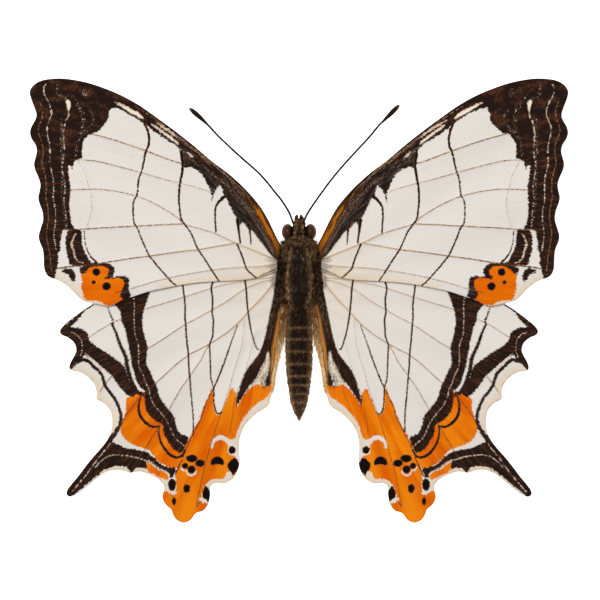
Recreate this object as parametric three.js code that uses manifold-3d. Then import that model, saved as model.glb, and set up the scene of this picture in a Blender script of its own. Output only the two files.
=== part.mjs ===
// A spread butterfly specimen: body, head, eyes, palps, coiled tongue, antennae, four wings and six folded
// legs. It lies belly down. X runs across the wings, +Y points to the head, +Z is up, and z = 0 is what it
// rests on. Outlines are in pixels of the 600 x 600 reference view, which looks straight down on it, and
// only for the left side: the right side mirrors it. Heights, thicknesses and radii are in millimetres.

import * as THREE from 'three';
import { mergeVertices } from 'three/addons/utils/BufferGeometryUtils.js';
import Module from 'manifold-3d';

const wasm = await Module();
wasm.setup();

// Driving dimensions, in millimetres
const WINGSPAN = 60;
const MEMBRANE = 0.22; // thickness of a wing with its scales on both faces
const COSTA_RISE = 0.16; // how far the leading edge's bundle of veins stands above the membrane
const COSTA_WIDTH = 1; // distance over which that rise fades
const COSTA_POINTS = 15; // points of the forewing's outline along its leading edge
const FOREWING_ROOT_Z = 3.5;
const HINDWING_DROP = 0.44; // the hindwing's middle surface lies this far under the forewing's
const WING_LIFT = 0.045; // rise of both wings for each millimetre away from the body
const HINDWING_SAG = 0.002; // quadratic fall of the hindwing towards its tails, behind SAG_START_PX
const SAG_START_PX = 312;
const FAN_FOLD = 0.1; // height of the shallow fan-like folds at FAN_RADIUS from the root
const FAN_RADIUS = 15;
const FAN_COUNT = 9; // folds in half a turn about the root
const WING_CELL = 2.3; // size of the facets on a wing
const CUTTER_HEIGHT = 20; // the prism of a wing's outline is far taller than any wing is thick
const FIT = 0.06; // clearance between a piece and the neighbour that it is fitted to

// Along the body, places are in pixels of the reference view
const THORAX = { front: 239, back: 311, halfWidth: 1.6, halfHeight: 2.5, z: 2.25, barrel: 2.6 };
const HEAD = { y: 231.5, halfWidth: 0.84, halfLength: 1.2, halfHeight: 1.15, z: 2.9 };
const EYE = { x: 287.5, y: 231.8, halfWidth: 0.66, halfLength: 0.91, halfHeight: 0.95, z: 2.8 };
const ABDOMEN = { waistZ: 2.1, tipZ: 0.5, flattening: 0.93, groove: 0.05, grooveWidth: 0.22 };
const TONGUE = { ahead: 0.85, z: 1.66, radius: 0.46, inner: 0.16, turns: 1.6, thick: 0.085, thin: 0.05 };
const PALP_RADIUS = 0.18;

// The reference view: the body's axis, the middle of the specimen's length, and the span of the wing tips
const AXIS_PX = 299;
const MIDDLE_PX = 300.8;
const SPAN_PX = 538.2;
const SCALE = WINGSPAN / SPAN_PX;

const FOREWING_OUTLINE_PX = [
  [291, 248], [281.5, 246], [268.8, 221], [260.7, 207.1], [250, 194], [239.3, 183], [226, 171.5],
  [212.5, 161.6],
  [194.6, 146.3], [176.8, 132.2], [158.9, 119], [141.1, 106.4], [123.2, 96.2], [105.4, 88.6], [87.5, 82.7],
  [69.6, 79.3], [56.3, 78.6], [42.9, 80.3], [34.8, 84.3], [30.8, 89.2], [29.9, 93.7], [31.7, 100.4],
  [34.8, 108.4], [36.6, 114.6], [35.3, 120], [31.7, 126.3], [30.1, 132.5], [31.7, 138.8], [35.7, 145],
  [37, 151.3], [35.7, 157.5], [34.2, 163.8], [35.3, 170], [38.4, 177.1], [40.6, 184.3], [39.7, 191.4],
  [38.4, 197.7], [39.7, 203.9], [42.2, 210.5], [43.3, 219.3], [41.1, 227.3], [38.8, 235.4], [39.7, 241.6],
  [42.9, 249.6], [43.9, 258.6], [44.2, 267.5], [46.4, 273.8], [50, 277.3], [54.5, 278.9], [60.7, 281.3],
  [67, 285.4], [73.2, 291.2], [79.5, 297.9], [84.8, 301.4], [92, 303.2], [100.9, 305], [108, 306.1],
  [114.3, 304.6], [121.4, 300.5], [132.1, 297], [148.7, 291.6], [165, 288.2], [182, 284.9], [200, 282.5],
  [219.6, 281.3], [239.3, 280.3], [256.3, 278], [267, 274.6], [279, 270.5], [291, 268],
];

// The first part of this outline, up to the leading edge that shows, lies under the forewing.
const HINDWING_OUTLINE_PX = [
  [291, 278], [280.5, 272], [266, 268], [245, 262], [215, 259.5], [185, 260.5], [155, 265], [128, 274],
  [108, 288],
  [93.4, 303.4], [84.5, 309.2], [72.9, 317.7], [65.7, 323.5], [61.3, 328.2], [59.9, 332], [62.1, 335.1],
  [67.5, 337.3], [72.9, 341.3], [75.5, 345.4], [76.3, 350.7], [74.2, 356.1], [71.1, 361.4], [69.3, 366.8],
  [70.2, 369.9], [73.3, 370.8], [80, 372.1], [86.3, 375.7], [91.6, 380.6], [95.2, 386.4], [96.5, 392.7],
  [96.1, 398.3], [98.8, 400.7], [103.2, 402.9], [107.7, 407], [110.8, 412.3], [112.1, 419.5],
  [111.7, 427.5], [110, 433.9], [106.4, 441.1], [99.3, 450], [92.1, 458], [85.4, 466.4], [77.9, 476.4],
  [70.7, 485], [67.1, 490.2], [66.3, 494.2], [68.9, 496.7], [73.4, 496], [79.6, 492.4], [87.7, 486.2],
  [94.8, 479.9], [102, 474.3], [110, 470.6], [117.1, 469.8], [124.3, 471], [129.6, 473], [134.1, 472.1],
  [140.4, 471.7], [147.5, 473.7], [154.6, 476.8], [160, 480.8], [163.6, 485.7], [163.6, 491.1],
  [162.1, 496.4], [164, 502.7], [168.9, 508.5], [172.5, 513.8], [176.4, 519.2], [183, 523],
  [189.6, 521], [193.7, 516.5], [197.7, 512.7], [202.1, 511.2], [206.6, 506.7], [208.9, 501.8],
  [210, 494.6], [209.7, 488.4], [212, 484.4], [216.4, 483], [223.6, 483.7], [229.8, 480.8],
  [234.3, 476.8], [237.9, 469.6], [239.6, 461.6], [239.3, 453.6], [238.8, 444.6], [240.3, 435.7],
  [244.1, 426.8], [250.4, 418.8], [257.5, 412.6], [264.6, 408.5], [268.7, 404.5], [270.3, 399],
  [272.5, 391], [275.2, 378.4], [278.6, 362.3], [281.8, 349], [285, 337], [286.5, 320], [287.5, 308],
  [291, 303],
];

// [distance down the view, half-width], from the waist to the tip
const ABDOMEN_PROFILE_PX = [
  [307, 9.5], [313, 12.4], [325, 13.4], [339, 13.5], [355, 13.3], [371, 12.5], [385, 10.9], [395, 9.4],
  [405, 7.3], [413, 4.2],
];
const ABDOMEN_TIP_PX = 419.5;
const ABDOMEN_GROOVES_PX = [329, 341, 353, 364, 376, 386, 395];

// Antennae, from the head to the club's tip: two routes, because the pair isn't set quite alike
const ANTENNA_LEFT_PX = [
  [295.5, 227.5], [292.6, 221.5], [290, 214.3], [286.6, 208], [281.3, 200], [274.1, 191.1], [267, 182.1],
  [258.9, 173.2],
  [250, 165.2], [239.3, 155.8], [228.6, 146], [217.9, 135.7], [207.1, 124.1], [198, 115.7], [189.3, 108],
];
const ANTENNA_RIGHT_PX = [
  [301.5, 227.5], [303.8, 221.5], [307.7, 213.1], [315.3, 201.6], [324.9, 188.2], [334.4, 175.8],
  [345.9, 162.4],
  [357.4, 149.9], [368.9, 137.5], [378.4, 126], [384.2, 120.3], [391.8, 112.6], [399.5, 105],
];
const ANTENNA = { shaft: 0.1, club: 0.28, clubShare: 0.16, rootZ: 3.5, tipZ: 4.6 };

// Real-size position of a point of the reference view
const toX = (px) => (px - AXIS_PX) * SCALE;
const toY = (px) => (MIDDLE_PX - px) * SCALE;

const SURFACES = {
  body: { color: 0x2b1f17, roughness: 0.85, metalness: 0 },
  eye: { color: 0x3a1f14, roughness: 0.25, metalness: 0 },
  horn: { color: 0x2a1d17, roughness: 0.5, metalness: 0 },
  forewing: { color: 0xe4e0d9, roughness: 0.75, metalness: 0 },
  hindwing: { color: 0xe39a4a, roughness: 0.75, metalness: 0 },
};

function surface(kind) {
  return new THREE.MeshStandardMaterial(SURFACES[kind]);
}

function named(name, geometry, kind) {
  const mesh = new THREE.Mesh(geometry, surface(kind));
  mesh.name = name;
  return mesh;
}

// Geometry with only positions left and shared vertices joined
function welded(geometry) {
  const bare = geometry.clone();
  bare.deleteAttribute('normal');
  bare.deleteAttribute('uv');
  return mergeVertices(bare, 1e-5);
}

function solidOf(geometry) {
  const g = welded(geometry);
  const mesh = new wasm.Mesh({
    numProp: 3,
    vertProperties: new Float32Array(g.attributes.position.array),
    triVerts: new Uint32Array(g.index.array),
  });
  return new wasm.Manifold(mesh);
}

function geometryOf(solid) {
  const mesh = solid.getMesh();
  const geometry = new THREE.BufferGeometry();
  geometry.setAttribute('position', new THREE.BufferAttribute(new Float32Array(mesh.vertProperties), 3));
  geometry.setIndex(new THREE.BufferAttribute(new Uint32Array(mesh.triVerts), 1));
  return geometry;
}

// Moves every vertex of a geometry to place(x, y, z)
function reshaped(geometry, place) {
  const g = welded(geometry);
  const position = g.attributes.position;
  for (let i = 0; i < position.count; i++) {
    const [x, y, z] = place(position.getX(i), position.getY(i), position.getZ(i));
    position.setXYZ(i, x, y, z);
  }
  return g;
}

// Mirrors a geometry across the body's plane, with its faces turned to point out again
function mirrored(geometry) {
  const g = geometry.clone();
  g.scale(-1, 1, 1);
  const index = g.index.array;
  for (let i = 0; i < index.length; i += 3) {
    [index[i + 1], index[i + 2]] = [index[i + 2], index[i + 1]];
  }
  return g;
}

// A closed tube of changing radius along a curve: a closed cylinder bent so that its length follows the curve
function taperedTube(curve, radiusAt, sides, steps) {
  const frames = curve.computeFrenetFrames(steps, false);
  return reshaped(new THREE.CylinderGeometry(1, 1, 1, sides, steps), (x, y, z) => {
    const share = THREE.MathUtils.clamp(0.5 - y, 0, 1);
    const step = Math.round(share * steps);
    const centre = curve.getPointAt(share);
    const radius = radiusAt(share);
    return centre
      .addScaledVector(frames.normals[step], x * radius)
      .addScaledVector(frames.binormals[step], z * radius)
      .toArray();
  });
}

// Wings

// Height of the forewing's middle surface: it rises away from the body and ripples in a fan about the root
function forewingHeight(x, y) {
  const out = Math.abs(x);
  const turn = Math.atan2(y, out);
  const reach = Math.hypot(out, y);
  const ripple = FAN_FOLD * (reach / FAN_RADIUS) * Math.sin(FAN_COUNT * turn * 2);
  return FOREWING_ROOT_Z + WING_LIFT * out + ripple;
}

// The hindwing follows the forewing from below, and sags behind the stretch that the forewing covers
function hindwingHeight(x, y) {
  const behind = Math.max(0, toY(SAG_START_PX) - y);
  return forewingHeight(x, y) - HINDWING_DROP - HINDWING_SAG * behind ** 2;
}

// A closed sheet over a rectangle, with facets of about WING_CELL: a box whose faces take the heights given
function sheet(box, bottomAt, topAt) {
  const size = box.getSize(new THREE.Vector2());
  const middle = box.getCenter(new THREE.Vector2());
  const cellsX = Math.ceil(size.x / WING_CELL);
  const cellsY = Math.ceil(size.y / WING_CELL);
  return reshaped(new THREE.BoxGeometry(size.x, size.y, 1, cellsX, cellsY, 1), (x, y, z) => {
    const [atX, atY] = [x + middle.x, y + middle.y];
    return [atX, atY, z > 0 ? topAt(atX, atY) : bottomAt(atX, atY)];
  });
}

// Distance from a point to a polyline
function distanceTo(points, x, y) {
  let nearest = Infinity;
  for (let i = 1; i < points.length; i++) {
    const [a, b] = [points[i - 1], points[i]];
    const along = ((x - a.x) * (b.x - a.x) + (y - a.y) * (b.y - a.y)) / a.distanceToSquared(b);
    const t = THREE.MathUtils.clamp(along, 0, 1);
    nearest = Math.min(nearest, Math.hypot(x - a.x - t * (b.x - a.x), y - a.y - t * (b.y - a.y)));
  }
  return nearest;
}

// A wing is the sheet of its surface, cut to its outline and to the body. The forewing's leading edge is
// thicker.
function wing(outlinePx, heightAt, costaRise) {
  const outline = outlinePx.map(([px, py]) => new THREE.Vector2(toX(px), toY(py)));
  const costa = outline.slice(0, COSTA_POINTS);
  const box = new THREE.Box2().setFromPoints(outline).expandByScalar(1);
  const ridge = (x, y) => costaRise * Math.exp(-distanceTo(costa, x, y) / COSTA_WIDTH);
  const membrane = sheet(
    box,
    (x, y) => heightAt(x, y) - MEMBRANE / 2,
    (x, y) => heightAt(x, y) + MEMBRANE / 2 + ridge(x, y),
  );
  const settings = { depth: CUTTER_HEIGHT, bevelEnabled: false };
  const prism = new THREE.ExtrudeGeometry(new THREE.Shape(outline), settings);
  prism.translate(0, 0, -CUTTER_HEIGHT / 2);
  const trimmed = geometryOf(solidOf(membrane).intersect(solidOf(prism)));
  return fitted(trimmed, thoraxForm, abdomenForm);
}

function wings() {
  const fore = wing(FOREWING_OUTLINE_PX, forewingHeight, COSTA_RISE);
  const hind = wing(HINDWING_OUTLINE_PX, hindwingHeight, 0);
  return [
    named('forewing_left', fore, 'forewing'),
    named('forewing_right', mirrored(fore), 'forewing'),
    named('hindwing_left', hind, 'hindwing'),
    named('hindwing_right', mirrored(hind), 'hindwing'),
  ];
}

// Body: each form takes a growth, so that the same form grown by the clearance can be cut from its neighbours

// The thorax: a barrel with rounded ends, its axis along the body, with a flat breast to rest on
function thoraxForm(growth) {
  const front = toY(THORAX.front) + growth;
  const back = toY(THORAX.back) - growth;
  const power = 2 / THORAX.barrel;
  return reshaped(new THREE.SphereGeometry(1, 20, 14), (x, y, z) => {
    const fullness = Math.max(1e-6, Math.hypot(x, z)) ** (power - 1);
    const along = Math.sign(y) * Math.abs(y) ** power;
    return [
      x * fullness * (THORAX.halfWidth + growth),
      (front + back) / 2 + along * (front - back) / 2,
      Math.max(-growth, THORAX.z + z * fullness * (THORAX.halfHeight + growth)),
    ];
  });
}

// The abdomen: rings around an axis that sinks to the tail, with shallow grooves between them and a flat
// strip where its underside lies on the surface
function abdomenForm(growth) {
  const stations = ABDOMEN_PROFILE_PX.map(([py, half]) => new THREE.Vector2(half * SCALE, toY(py)));
  const profile = new THREE.SplineCurve(stations).getPoints(24).map((p) => {
    const offsets = ABDOMEN_GROOVES_PX.map((py) => Math.abs(p.y - toY(py)));
    const groove = ABDOMEN.groove * Math.exp(-((Math.min(...offsets) / ABDOMEN.grooveWidth) ** 2));
    return new THREE.Vector2(p.x + growth - groove, p.y);
  });
  const waist = new THREE.Vector2(0, profile[0].y + 0.25);
  const tip = new THREE.Vector2(0, toY(ABDOMEN_TIP_PX) - growth);
  const turned = new THREE.LatheGeometry([tip, ...profile.reverse(), waist], 18);
  return reshaped(turned, (x, y, z) => {
    const share = (waist.y - y) / (waist.y - tip.y);
    const axis = THREE.MathUtils.lerp(ABDOMEN.waistZ, ABDOMEN.tipZ, share);
    return [x, y, Math.max(-growth, axis + z * ABDOMEN.flattening)];
  });
}

function eyeForm(growth) {
  return reshaped(new THREE.SphereGeometry(1, 14, 9), (x, y, z) => [
    toX(EYE.x) + x * (EYE.halfWidth + growth),
    toY(EYE.y) + y * (EYE.halfLength + growth),
    EYE.z + z * (EYE.halfHeight + growth),
  ]);
}

function headForm(growth) {
  return reshaped(new THREE.SphereGeometry(1, 14, 9), (x, y, z) => [
    x * (HEAD.halfWidth + growth),
    toY(HEAD.y) + y * (HEAD.halfLength + growth),
    HEAD.z + z * (HEAD.halfHeight + growth),
  ]);
}

// A geometry with its neighbours' forms, grown by the clearance, cut from it
function fitted(geometry, ...neighbourForms) {
  const cut = neighbourForms.reduce((solid, form) => solid.subtract(solidOf(form(FIT))), solidOf(geometry));
  return geometryOf(cut);
}

const rightEyeForm = (growth) => mirrored(eyeForm(growth));

function body() {
  return [
    named('thorax', thoraxForm(0), 'body'),
    named('abdomen', fitted(abdomenForm(0), thoraxForm), 'body'),
    named('head', fitted(headForm(0), thoraxForm, eyeForm, rightEyeForm), 'body'),
    named('eye_left', eyeForm(0), 'eye'),
    named('eye_right', rightEyeForm(0), 'eye'),
  ];
}

// Antennae, palps and tongue

// An antenna: a thin shaft that swells into a slender club
function antenna(name, routePx) {
  const last = routePx.length - 1;
  const route = routePx.map(([px, py], i) => {
    const z = THREE.MathUtils.lerp(ANTENNA.rootZ, ANTENNA.tipZ, i / last);
    return new THREE.Vector3(toX(px), toY(py), z);
  });
  const radiusAt = (share) => {
    const club = (share - 1 + ANTENNA.clubShare) / ANTENNA.clubShare;
    if (club <= 0) return ANTENNA.shaft;
    const swelling = Math.sin(Math.PI * Math.min(club, 0.98) ** 1.3) ** 0.6;
    return ANTENNA.shaft * (1 - 0.3 * club) + (ANTENNA.club - ANTENNA.shaft) * swelling;
  };
  const tube = taperedTube(new THREE.CatmullRomCurve3(route), radiusAt, 6, 30);
  return named(name, fitted(tube, headForm), 'horn');
}

// A palp: a short feeler that curves up in front of the face
function palp(name, side) {
  const route = [
    [0.26, 0.9, -0.6], [0.29, 1.3, -0.4], [0.27, 1.56, 0], [0.22, 1.72, 0.35],
  ].map(([x, y, z]) => new THREE.Vector3(side * x, toY(HEAD.y) + y, HEAD.z + z));
  const radiusAt = (share) => PALP_RADIUS * (1 - 0.75 * share ** 2);
  const tube = taperedTube(new THREE.CatmullRomCurve3(route), radiusAt, 7, 8);
  return named(name, fitted(tube, headForm), 'body');
}

// The tongue: a flat coil that leaves the head's underside, runs forward and rolls in beneath it
function proboscis() {
  const points = [];
  for (let i = 0; i <= 24; i++) {
    const share = i / 24;
    const radius = THREE.MathUtils.lerp(TONGUE.radius, TONGUE.inner, share);
    const angle = Math.PI * (0.5 - 2 * TONGUE.turns * share);
    const y = toY(HEAD.y) + TONGUE.ahead + radius * Math.cos(angle);
    points.push(new THREE.Vector3(0, y, TONGUE.z + radius * Math.sin(angle)));
  }
  const radiusAt = (share) => THREE.MathUtils.lerp(TONGUE.thick, TONGUE.thin, share);
  const coil = taperedTube(new THREE.CatmullRomCurve3(points), radiusAt, 5, 28);
  return named('proboscis', fitted(coil, headForm), 'horn');
}

// Legs

// Each route runs from the hip to the claws, for the left side, in millimetres from the middle of the breast.
// They are folded as they dry: thighs out, shins back in, feet along the surface.
const LEG_ROUTES = {
  foreleg: [[-0.5, 3.1, 1.1], [-0.95, 3.8, 0.85], [-0.7, 4.35, 0.6], [-0.45, 4.0, 0.35]],
  midleg: [
    [-1.0, 1.2, 0.85], [-2.0, 2.2, 1.0], [-2.65, 3.6, 0.85], [-2.55, 2.7, 0.4], [-2.35, 1.5, 0.13],
    [-2.3, 0.4, 0.07],
  ],
  hindleg: [
    [-1.0, -1.0, 0.85], [-2.2, -1.6, 1.05], [-3.1, -2.1, 0.85], [-2.75, -3.2, 0.4], [-2.4, -4.4, 0.13],
    [-2.2, -5.4, 0.07],
  ],
};
const LEG_RADII = { foreleg: [0.16, 0.12, 0.09], midleg: [0.22, 0.13, 0.08], hindleg: [0.22, 0.13, 0.08] };

function legGeometry(kind) {
  const middle = (toY(THORAX.front) + toY(THORAX.back)) / 2;
  const route = LEG_ROUTES[kind].map(([x, y, z]) => new THREE.Vector3(x, middle + y, z));
  const [thigh, shin, foot] = LEG_RADII[kind];
  const radiusAt = (share) => {
    const thighEnd = THREE.MathUtils.smoothstep(share, 0.3, 0.5);
    const shinEnd = THREE.MathUtils.smoothstep(share, 0.6, 0.85);
    return thigh + (shin - thigh) * thighEnd + (foot - shin) * shinEnd;
  };
  const tube = taperedTube(new THREE.CatmullRomCurve3(route), radiusAt, 6, 16);
  const lying = reshaped(tube, (x, y, z) => [x, y, Math.max(0, z)]);
  return fitted(lying, thoraxForm);
}

function legs() {
  return Object.keys(LEG_ROUTES).flatMap((kind) => {
    const left = legGeometry(kind);
    return [named(`${kind}_left`, left, 'horn'), named(`${kind}_right`, mirrored(left), 'horn')];
  });
}

const specimen = new THREE.Group();
specimen.add(
  ...body(),
  antenna('antenna_left', ANTENNA_LEFT_PX),
  antenna('antenna_right', ANTENNA_RIGHT_PX),
  palp('palp_left', -1),
  palp('palp_right', 1),
  proboscis(),
  ...wings(),
  ...legs(),
);

export default specimen;
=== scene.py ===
"""Finish of a spread butterfly specimen: scaled wings, furred body, eyes, antennae, tongue and legs.

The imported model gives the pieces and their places. This script gives each one its fine surface. Outlines and
markings are written for the left side, in pixels of the 600 x 600 reference view, and turned into millimetres
by ReferenceView. Surfaces are worked out in millimetres and become metres when a mesh is made.
"""

import logging
from dataclasses import dataclass, field
from enum import Enum
from typing import Any, Callable, Sequence

import bpy
import numpy as np
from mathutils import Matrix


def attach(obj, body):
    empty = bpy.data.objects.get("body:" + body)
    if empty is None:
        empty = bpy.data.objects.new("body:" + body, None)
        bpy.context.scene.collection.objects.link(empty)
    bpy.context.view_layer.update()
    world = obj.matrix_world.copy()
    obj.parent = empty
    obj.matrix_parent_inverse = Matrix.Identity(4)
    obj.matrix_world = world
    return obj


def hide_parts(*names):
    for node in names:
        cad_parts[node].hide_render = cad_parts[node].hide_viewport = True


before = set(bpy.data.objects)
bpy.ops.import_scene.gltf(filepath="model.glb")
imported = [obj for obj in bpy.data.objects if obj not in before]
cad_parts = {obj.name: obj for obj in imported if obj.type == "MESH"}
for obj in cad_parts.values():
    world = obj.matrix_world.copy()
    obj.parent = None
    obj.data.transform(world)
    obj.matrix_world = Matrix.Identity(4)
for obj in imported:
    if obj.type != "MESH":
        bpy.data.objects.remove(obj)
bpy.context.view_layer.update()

MM = 0.001
BODY = "root"
REACH = 1.4
"""Markings are measured this far from their edges, in millimetres."""

log = logging.getLogger("butterfly")

Points = Sequence[tuple[float, ...]]
Material = bpy.types.Material
Piece = bpy.types.Object
Random = np.random.Generator


class Side(Enum):
    """The two sides of the body, as the sign of X."""

    LEFT = -1
    RIGHT = 1

    @property
    def label(self) -> str:
        """The side's name as the pieces carry it."""
        return self.name.lower()


@dataclass(frozen=True)
class ReferenceView:
    """Scale and centre of the straight-down view that outlines and markings are written in."""

    span_mm: float = 60.0
    span_px: float = 538.2
    axis_px: float = 299.0
    middle_px: float = 300.8

    @property
    def scale(self) -> float:
        """Millimetres in a pixel."""
        return self.span_mm / self.span_px

    def place(self, points: Points) -> np.ndarray:
        """Turns pixels into millimetres in the model's X and Y.

        Args:
            points: Pairs of pixel coordinates.

        Returns:
            An array of rows of X and Y.
        """
        pixels = np.asarray(points, float).reshape(-1, 2)
        return np.stack([pixels[:, 0] - self.axis_px, self.middle_px - pixels[:, 1]], axis=1) * self.scale

    def along(self, row: Any) -> Any:
        """The distances along the body of pixel rows, in millimetres."""
        return (self.middle_px - row) * self.scale

    def row(self, y: np.ndarray) -> np.ndarray:
        """The pixel rows of distances along the body."""
        return self.middle_px - y / self.scale


VIEW = ReferenceView()
ROWS_AT_ONCE = 4000


def batches(count: int) -> list[slice]:
    """Slices that take a number of rows a part at a time, to save memory."""
    return [slice(first, first + ROWS_AT_ONCE) for first in range(0, count, ROWS_AT_ONCE)]


def smooth_path(points: np.ndarray, closed: bool, steps: int) -> np.ndarray:
    """Draws a Catmull-Rom curve: between two points it is the cubic that also heeds their neighbours.

    Args:
        points: Rows of coordinates.
        closed: Whether the curve runs on from the last point to the first.
        steps: Points on each stretch.

    Returns:
        Rows of coordinates along the curve.
    """
    if closed:
        before, here = np.roll(points, 1, 0), points
        after, beyond = np.roll(points, -1, 0), np.roll(points, -2, 0)
    else:
        ends = 2 * points[0] - points[1], 2 * points[-1] - points[-2]
        padded = np.vstack([ends[0], points, ends[1]])
        before, here, after, beyond = padded[:-3], padded[1:-2], padded[2:-1], padded[3:]
    t = (np.arange(steps) / steps)[None, :, None]
    before, here, after, beyond = (p[:, None] for p in (before, here, after, beyond))
    curve = 0.5 * (
        2 * here
        + (after - before) * t
        + (2 * before - 5 * here + 4 * after - beyond) * t**2
        + (3 * here - before - 3 * after + beyond) * t**3
    )
    flat = curve.reshape(-1, points.shape[1])
    return flat if closed else np.vstack([flat, points[-1]])


def nearest_on_path(points: np.ndarray, path: np.ndarray) -> tuple[np.ndarray, np.ndarray, np.ndarray]:
    """Finds the nearest place on a polyline to each point, the least of its distances to all the segments.

    Args:
        points: Rows of X and Y.
        path: Rows of X and Y along the polyline.

    Returns:
        The distances, the share of the path's length at the nearest places, and those places.
    """
    start, step = path[:-1], np.diff(path, axis=0)
    length = np.linalg.norm(step, axis=1)
    travelled = np.concatenate([[0], np.cumsum(length)])
    distance, share, place = np.empty(len(points)), np.empty(len(points)), np.empty((len(points), 2))
    for rows in batches(len(points)):
        away = points[rows, None] - start
        t = np.clip((away * step).sum(2) / np.maximum(length**2, 1e-12), 0, 1)
        gap = np.linalg.norm(away - t[..., None] * step, axis=2)
        best = gap.argmin(1)
        row = np.arange(len(best))
        distance[rows] = gap[row, best]
        share[rows] = (travelled[best] + t[row, best] * length[best]) / travelled[-1]
        place[rows] = start[best] + t[row, best, None] * step[best]
    return distance, share, place


def inside_outline(points: np.ndarray, outline: np.ndarray) -> np.ndarray:
    """Says which points an outline holds: those from which a ray crosses it an odd number of times.

    Args:
        points: Rows of X and Y.
        outline: Rows of X and Y round the outline.

    Returns:
        A row of booleans.
    """
    start, end = outline, np.roll(outline, -1, 0)
    inside = np.zeros(len(points), bool)
    for rows in batches(len(points)):
        x, y = points[rows, 0, None], points[rows, 1, None]
        spans = (start[:, 1] > y) != (end[:, 1] > y)
        rise = np.where(end[:, 1] == start[:, 1], 1e-12, end[:, 1] - start[:, 1])
        crossing = (end[:, 0] - start[:, 0]) * (y - start[:, 1]) / rise + start[:, 0]
        inside[rows] = (spans & (x < crossing)).sum(1) % 2 == 1
    return inside


class Layer(Enum):
    """The layers of a wing's pattern, each kept as a signed distance in millimetres, positive inside."""

    VEIN = "vein"
    LINE = "line"
    DARK = "dark"
    ORANGE = "orange"
    GROUND = "ground"
    PALE = "pale"
    COPPER = "copper"
    MOTTLE = "mottle"
    AMBER = "amber"
    TAN = "tan"
    # Dark smudges of the scales, and darker ground under the fold hair that is painted shade.
    SMUDGE = "smudge"


class Mark:
    """One shape of a wing's pattern."""

    def extent(self) -> np.ndarray:
        """Rows of X and Y that span the shape, in millimetres."""
        raise NotImplementedError

    def depth(self, points: np.ndarray) -> np.ndarray:
        """How far inside the shape each point is, in millimetres, negative outside."""
        raise NotImplementedError


@dataclass(frozen=True)
class Stroke(Mark):
    """A line of changing width along a smooth route."""

    route: Points
    widths: Sequence[float] = (1.5,)

    def extent(self) -> np.ndarray:
        """Rows of X and Y that span the line."""
        return VIEW.place(self.route)

    def depth(self, points: np.ndarray) -> np.ndarray:
        """Half the line's width less the distance to its middle."""
        path = smooth_path(VIEW.place(self.route), False, 4)
        distance, share, _ = nearest_on_path(points, path)
        widths = np.asarray(self.widths) * VIEW.scale / 2
        return np.interp(share, np.linspace(0, 1, len(widths)), widths) - distance


@dataclass(frozen=True)
class Region(Mark):
    """An area inside a closed outline."""

    outline: Points
    steps: int = 3

    def extent(self) -> np.ndarray:
        """Rows of X and Y that span the area."""
        return VIEW.place(self.outline)

    def depth(self, points: np.ndarray) -> np.ndarray:
        """The distance to the outline, negative outside it."""
        outline = smooth_path(VIEW.place(self.outline), True, self.steps)
        distance = nearest_on_path(points, np.vstack([outline, outline[:1]]))[0]
        return np.where(inside_outline(points, outline), distance, -distance)


@dataclass(frozen=True)
class Spot(Mark):
    """An ellipse, its first radius across the view."""

    centre: tuple[float, float]
    radii: tuple[float, float]

    def extent(self) -> np.ndarray:
        """Rows of X and Y of the ellipse's corners."""
        (x, y), (a, b) = self.centre, self.radii
        return VIEW.place([(x - a, y - b), (x + a, y + b)])

    def depth(self, points: np.ndarray) -> np.ndarray:
        """One less the scaled distance to the centre, times the smaller radius."""
        radii = np.asarray(self.radii) * VIEW.scale
        away = (points - VIEW.place([self.centre])) / radii
        return (1 - np.linalg.norm(away, axis=1)) * radii.min()


Marks = dict[Layer, Sequence[Mark]]


def pattern(points: np.ndarray, marks: Marks) -> dict[Layer, np.ndarray]:
    """Works out every layer of a pattern: at each point the greatest depth of that layer's shapes.

    Args:
        points: Rows of X and Y on the left side, in millimetres.
        marks: The shapes of each layer.

    Returns:
        A row of depths for each layer, no less than minus REACH.
    """
    layers = {}
    for layer in Layer:
        depth = np.full(len(points), -REACH)
        for mark in marks.get(layer, ()):
            span = mark.extent()
            low, high = span.min(0) - REACH, span.max(0) + REACH
            near = ((points > low) & (points < high)).all(1)
            if near.any():
                depth[near] = np.maximum(depth[near], mark.depth(points[near]))
        layers[layer] = depth
    return layers


FOREWING_OUTLINE = [
    (291, 248), (281.5, 246), (268.8, 221), (260.7, 207.1), (250, 194), (239.3, 183), (226, 171.5),
    (212.5, 161.6), (194.6, 146.3), (176.8, 132.2), (158.9, 119), (141.1, 106.4), (123.2, 96.2),
    (105.4, 88.6), (87.5, 82.7), (69.6, 79.3), (56.3, 78.6), (42.9, 80.3), (34.8, 84.3), (30.8, 89.2),
    (29.9, 93.7), (31.7, 100.4), (34.8, 108.4), (36.6, 114.6), (35.3, 120), (31.7, 126.3), (30.1, 132.5),
    (31.7, 138.8), (35.7, 145), (37, 151.3), (35.7, 157.5), (34.2, 163.8), (35.3, 170), (38.4, 177.1),
    (40.6, 184.3), (39.7, 191.4), (38.4, 197.7), (39.7, 203.9), (42.2, 210.5), (43.3, 219.3), (41.1, 227.3),
    (38.8, 235.4), (39.7, 241.6), (42.9, 249.6), (43.9, 258.6), (44.2, 267.5), (46.4, 273.8), (50, 277.3),
    (54.5, 278.9), (60.7, 281.3), (67, 285.4), (73.2, 291.2), (79.5, 297.9), (84.8, 301.4), (92, 303.2),
    (100.9, 305), (108, 306.1), (114.3, 304.6), (121.4, 300.5), (132.1, 297), (148.7, 291.6), (165, 288.2),
    (182, 284.9), (200, 282.5), (219.6, 281.3), (239.3, 280.3), (256.3, 278), (267, 274.6), (279, 270.5),
    (291, 268),
]

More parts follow.
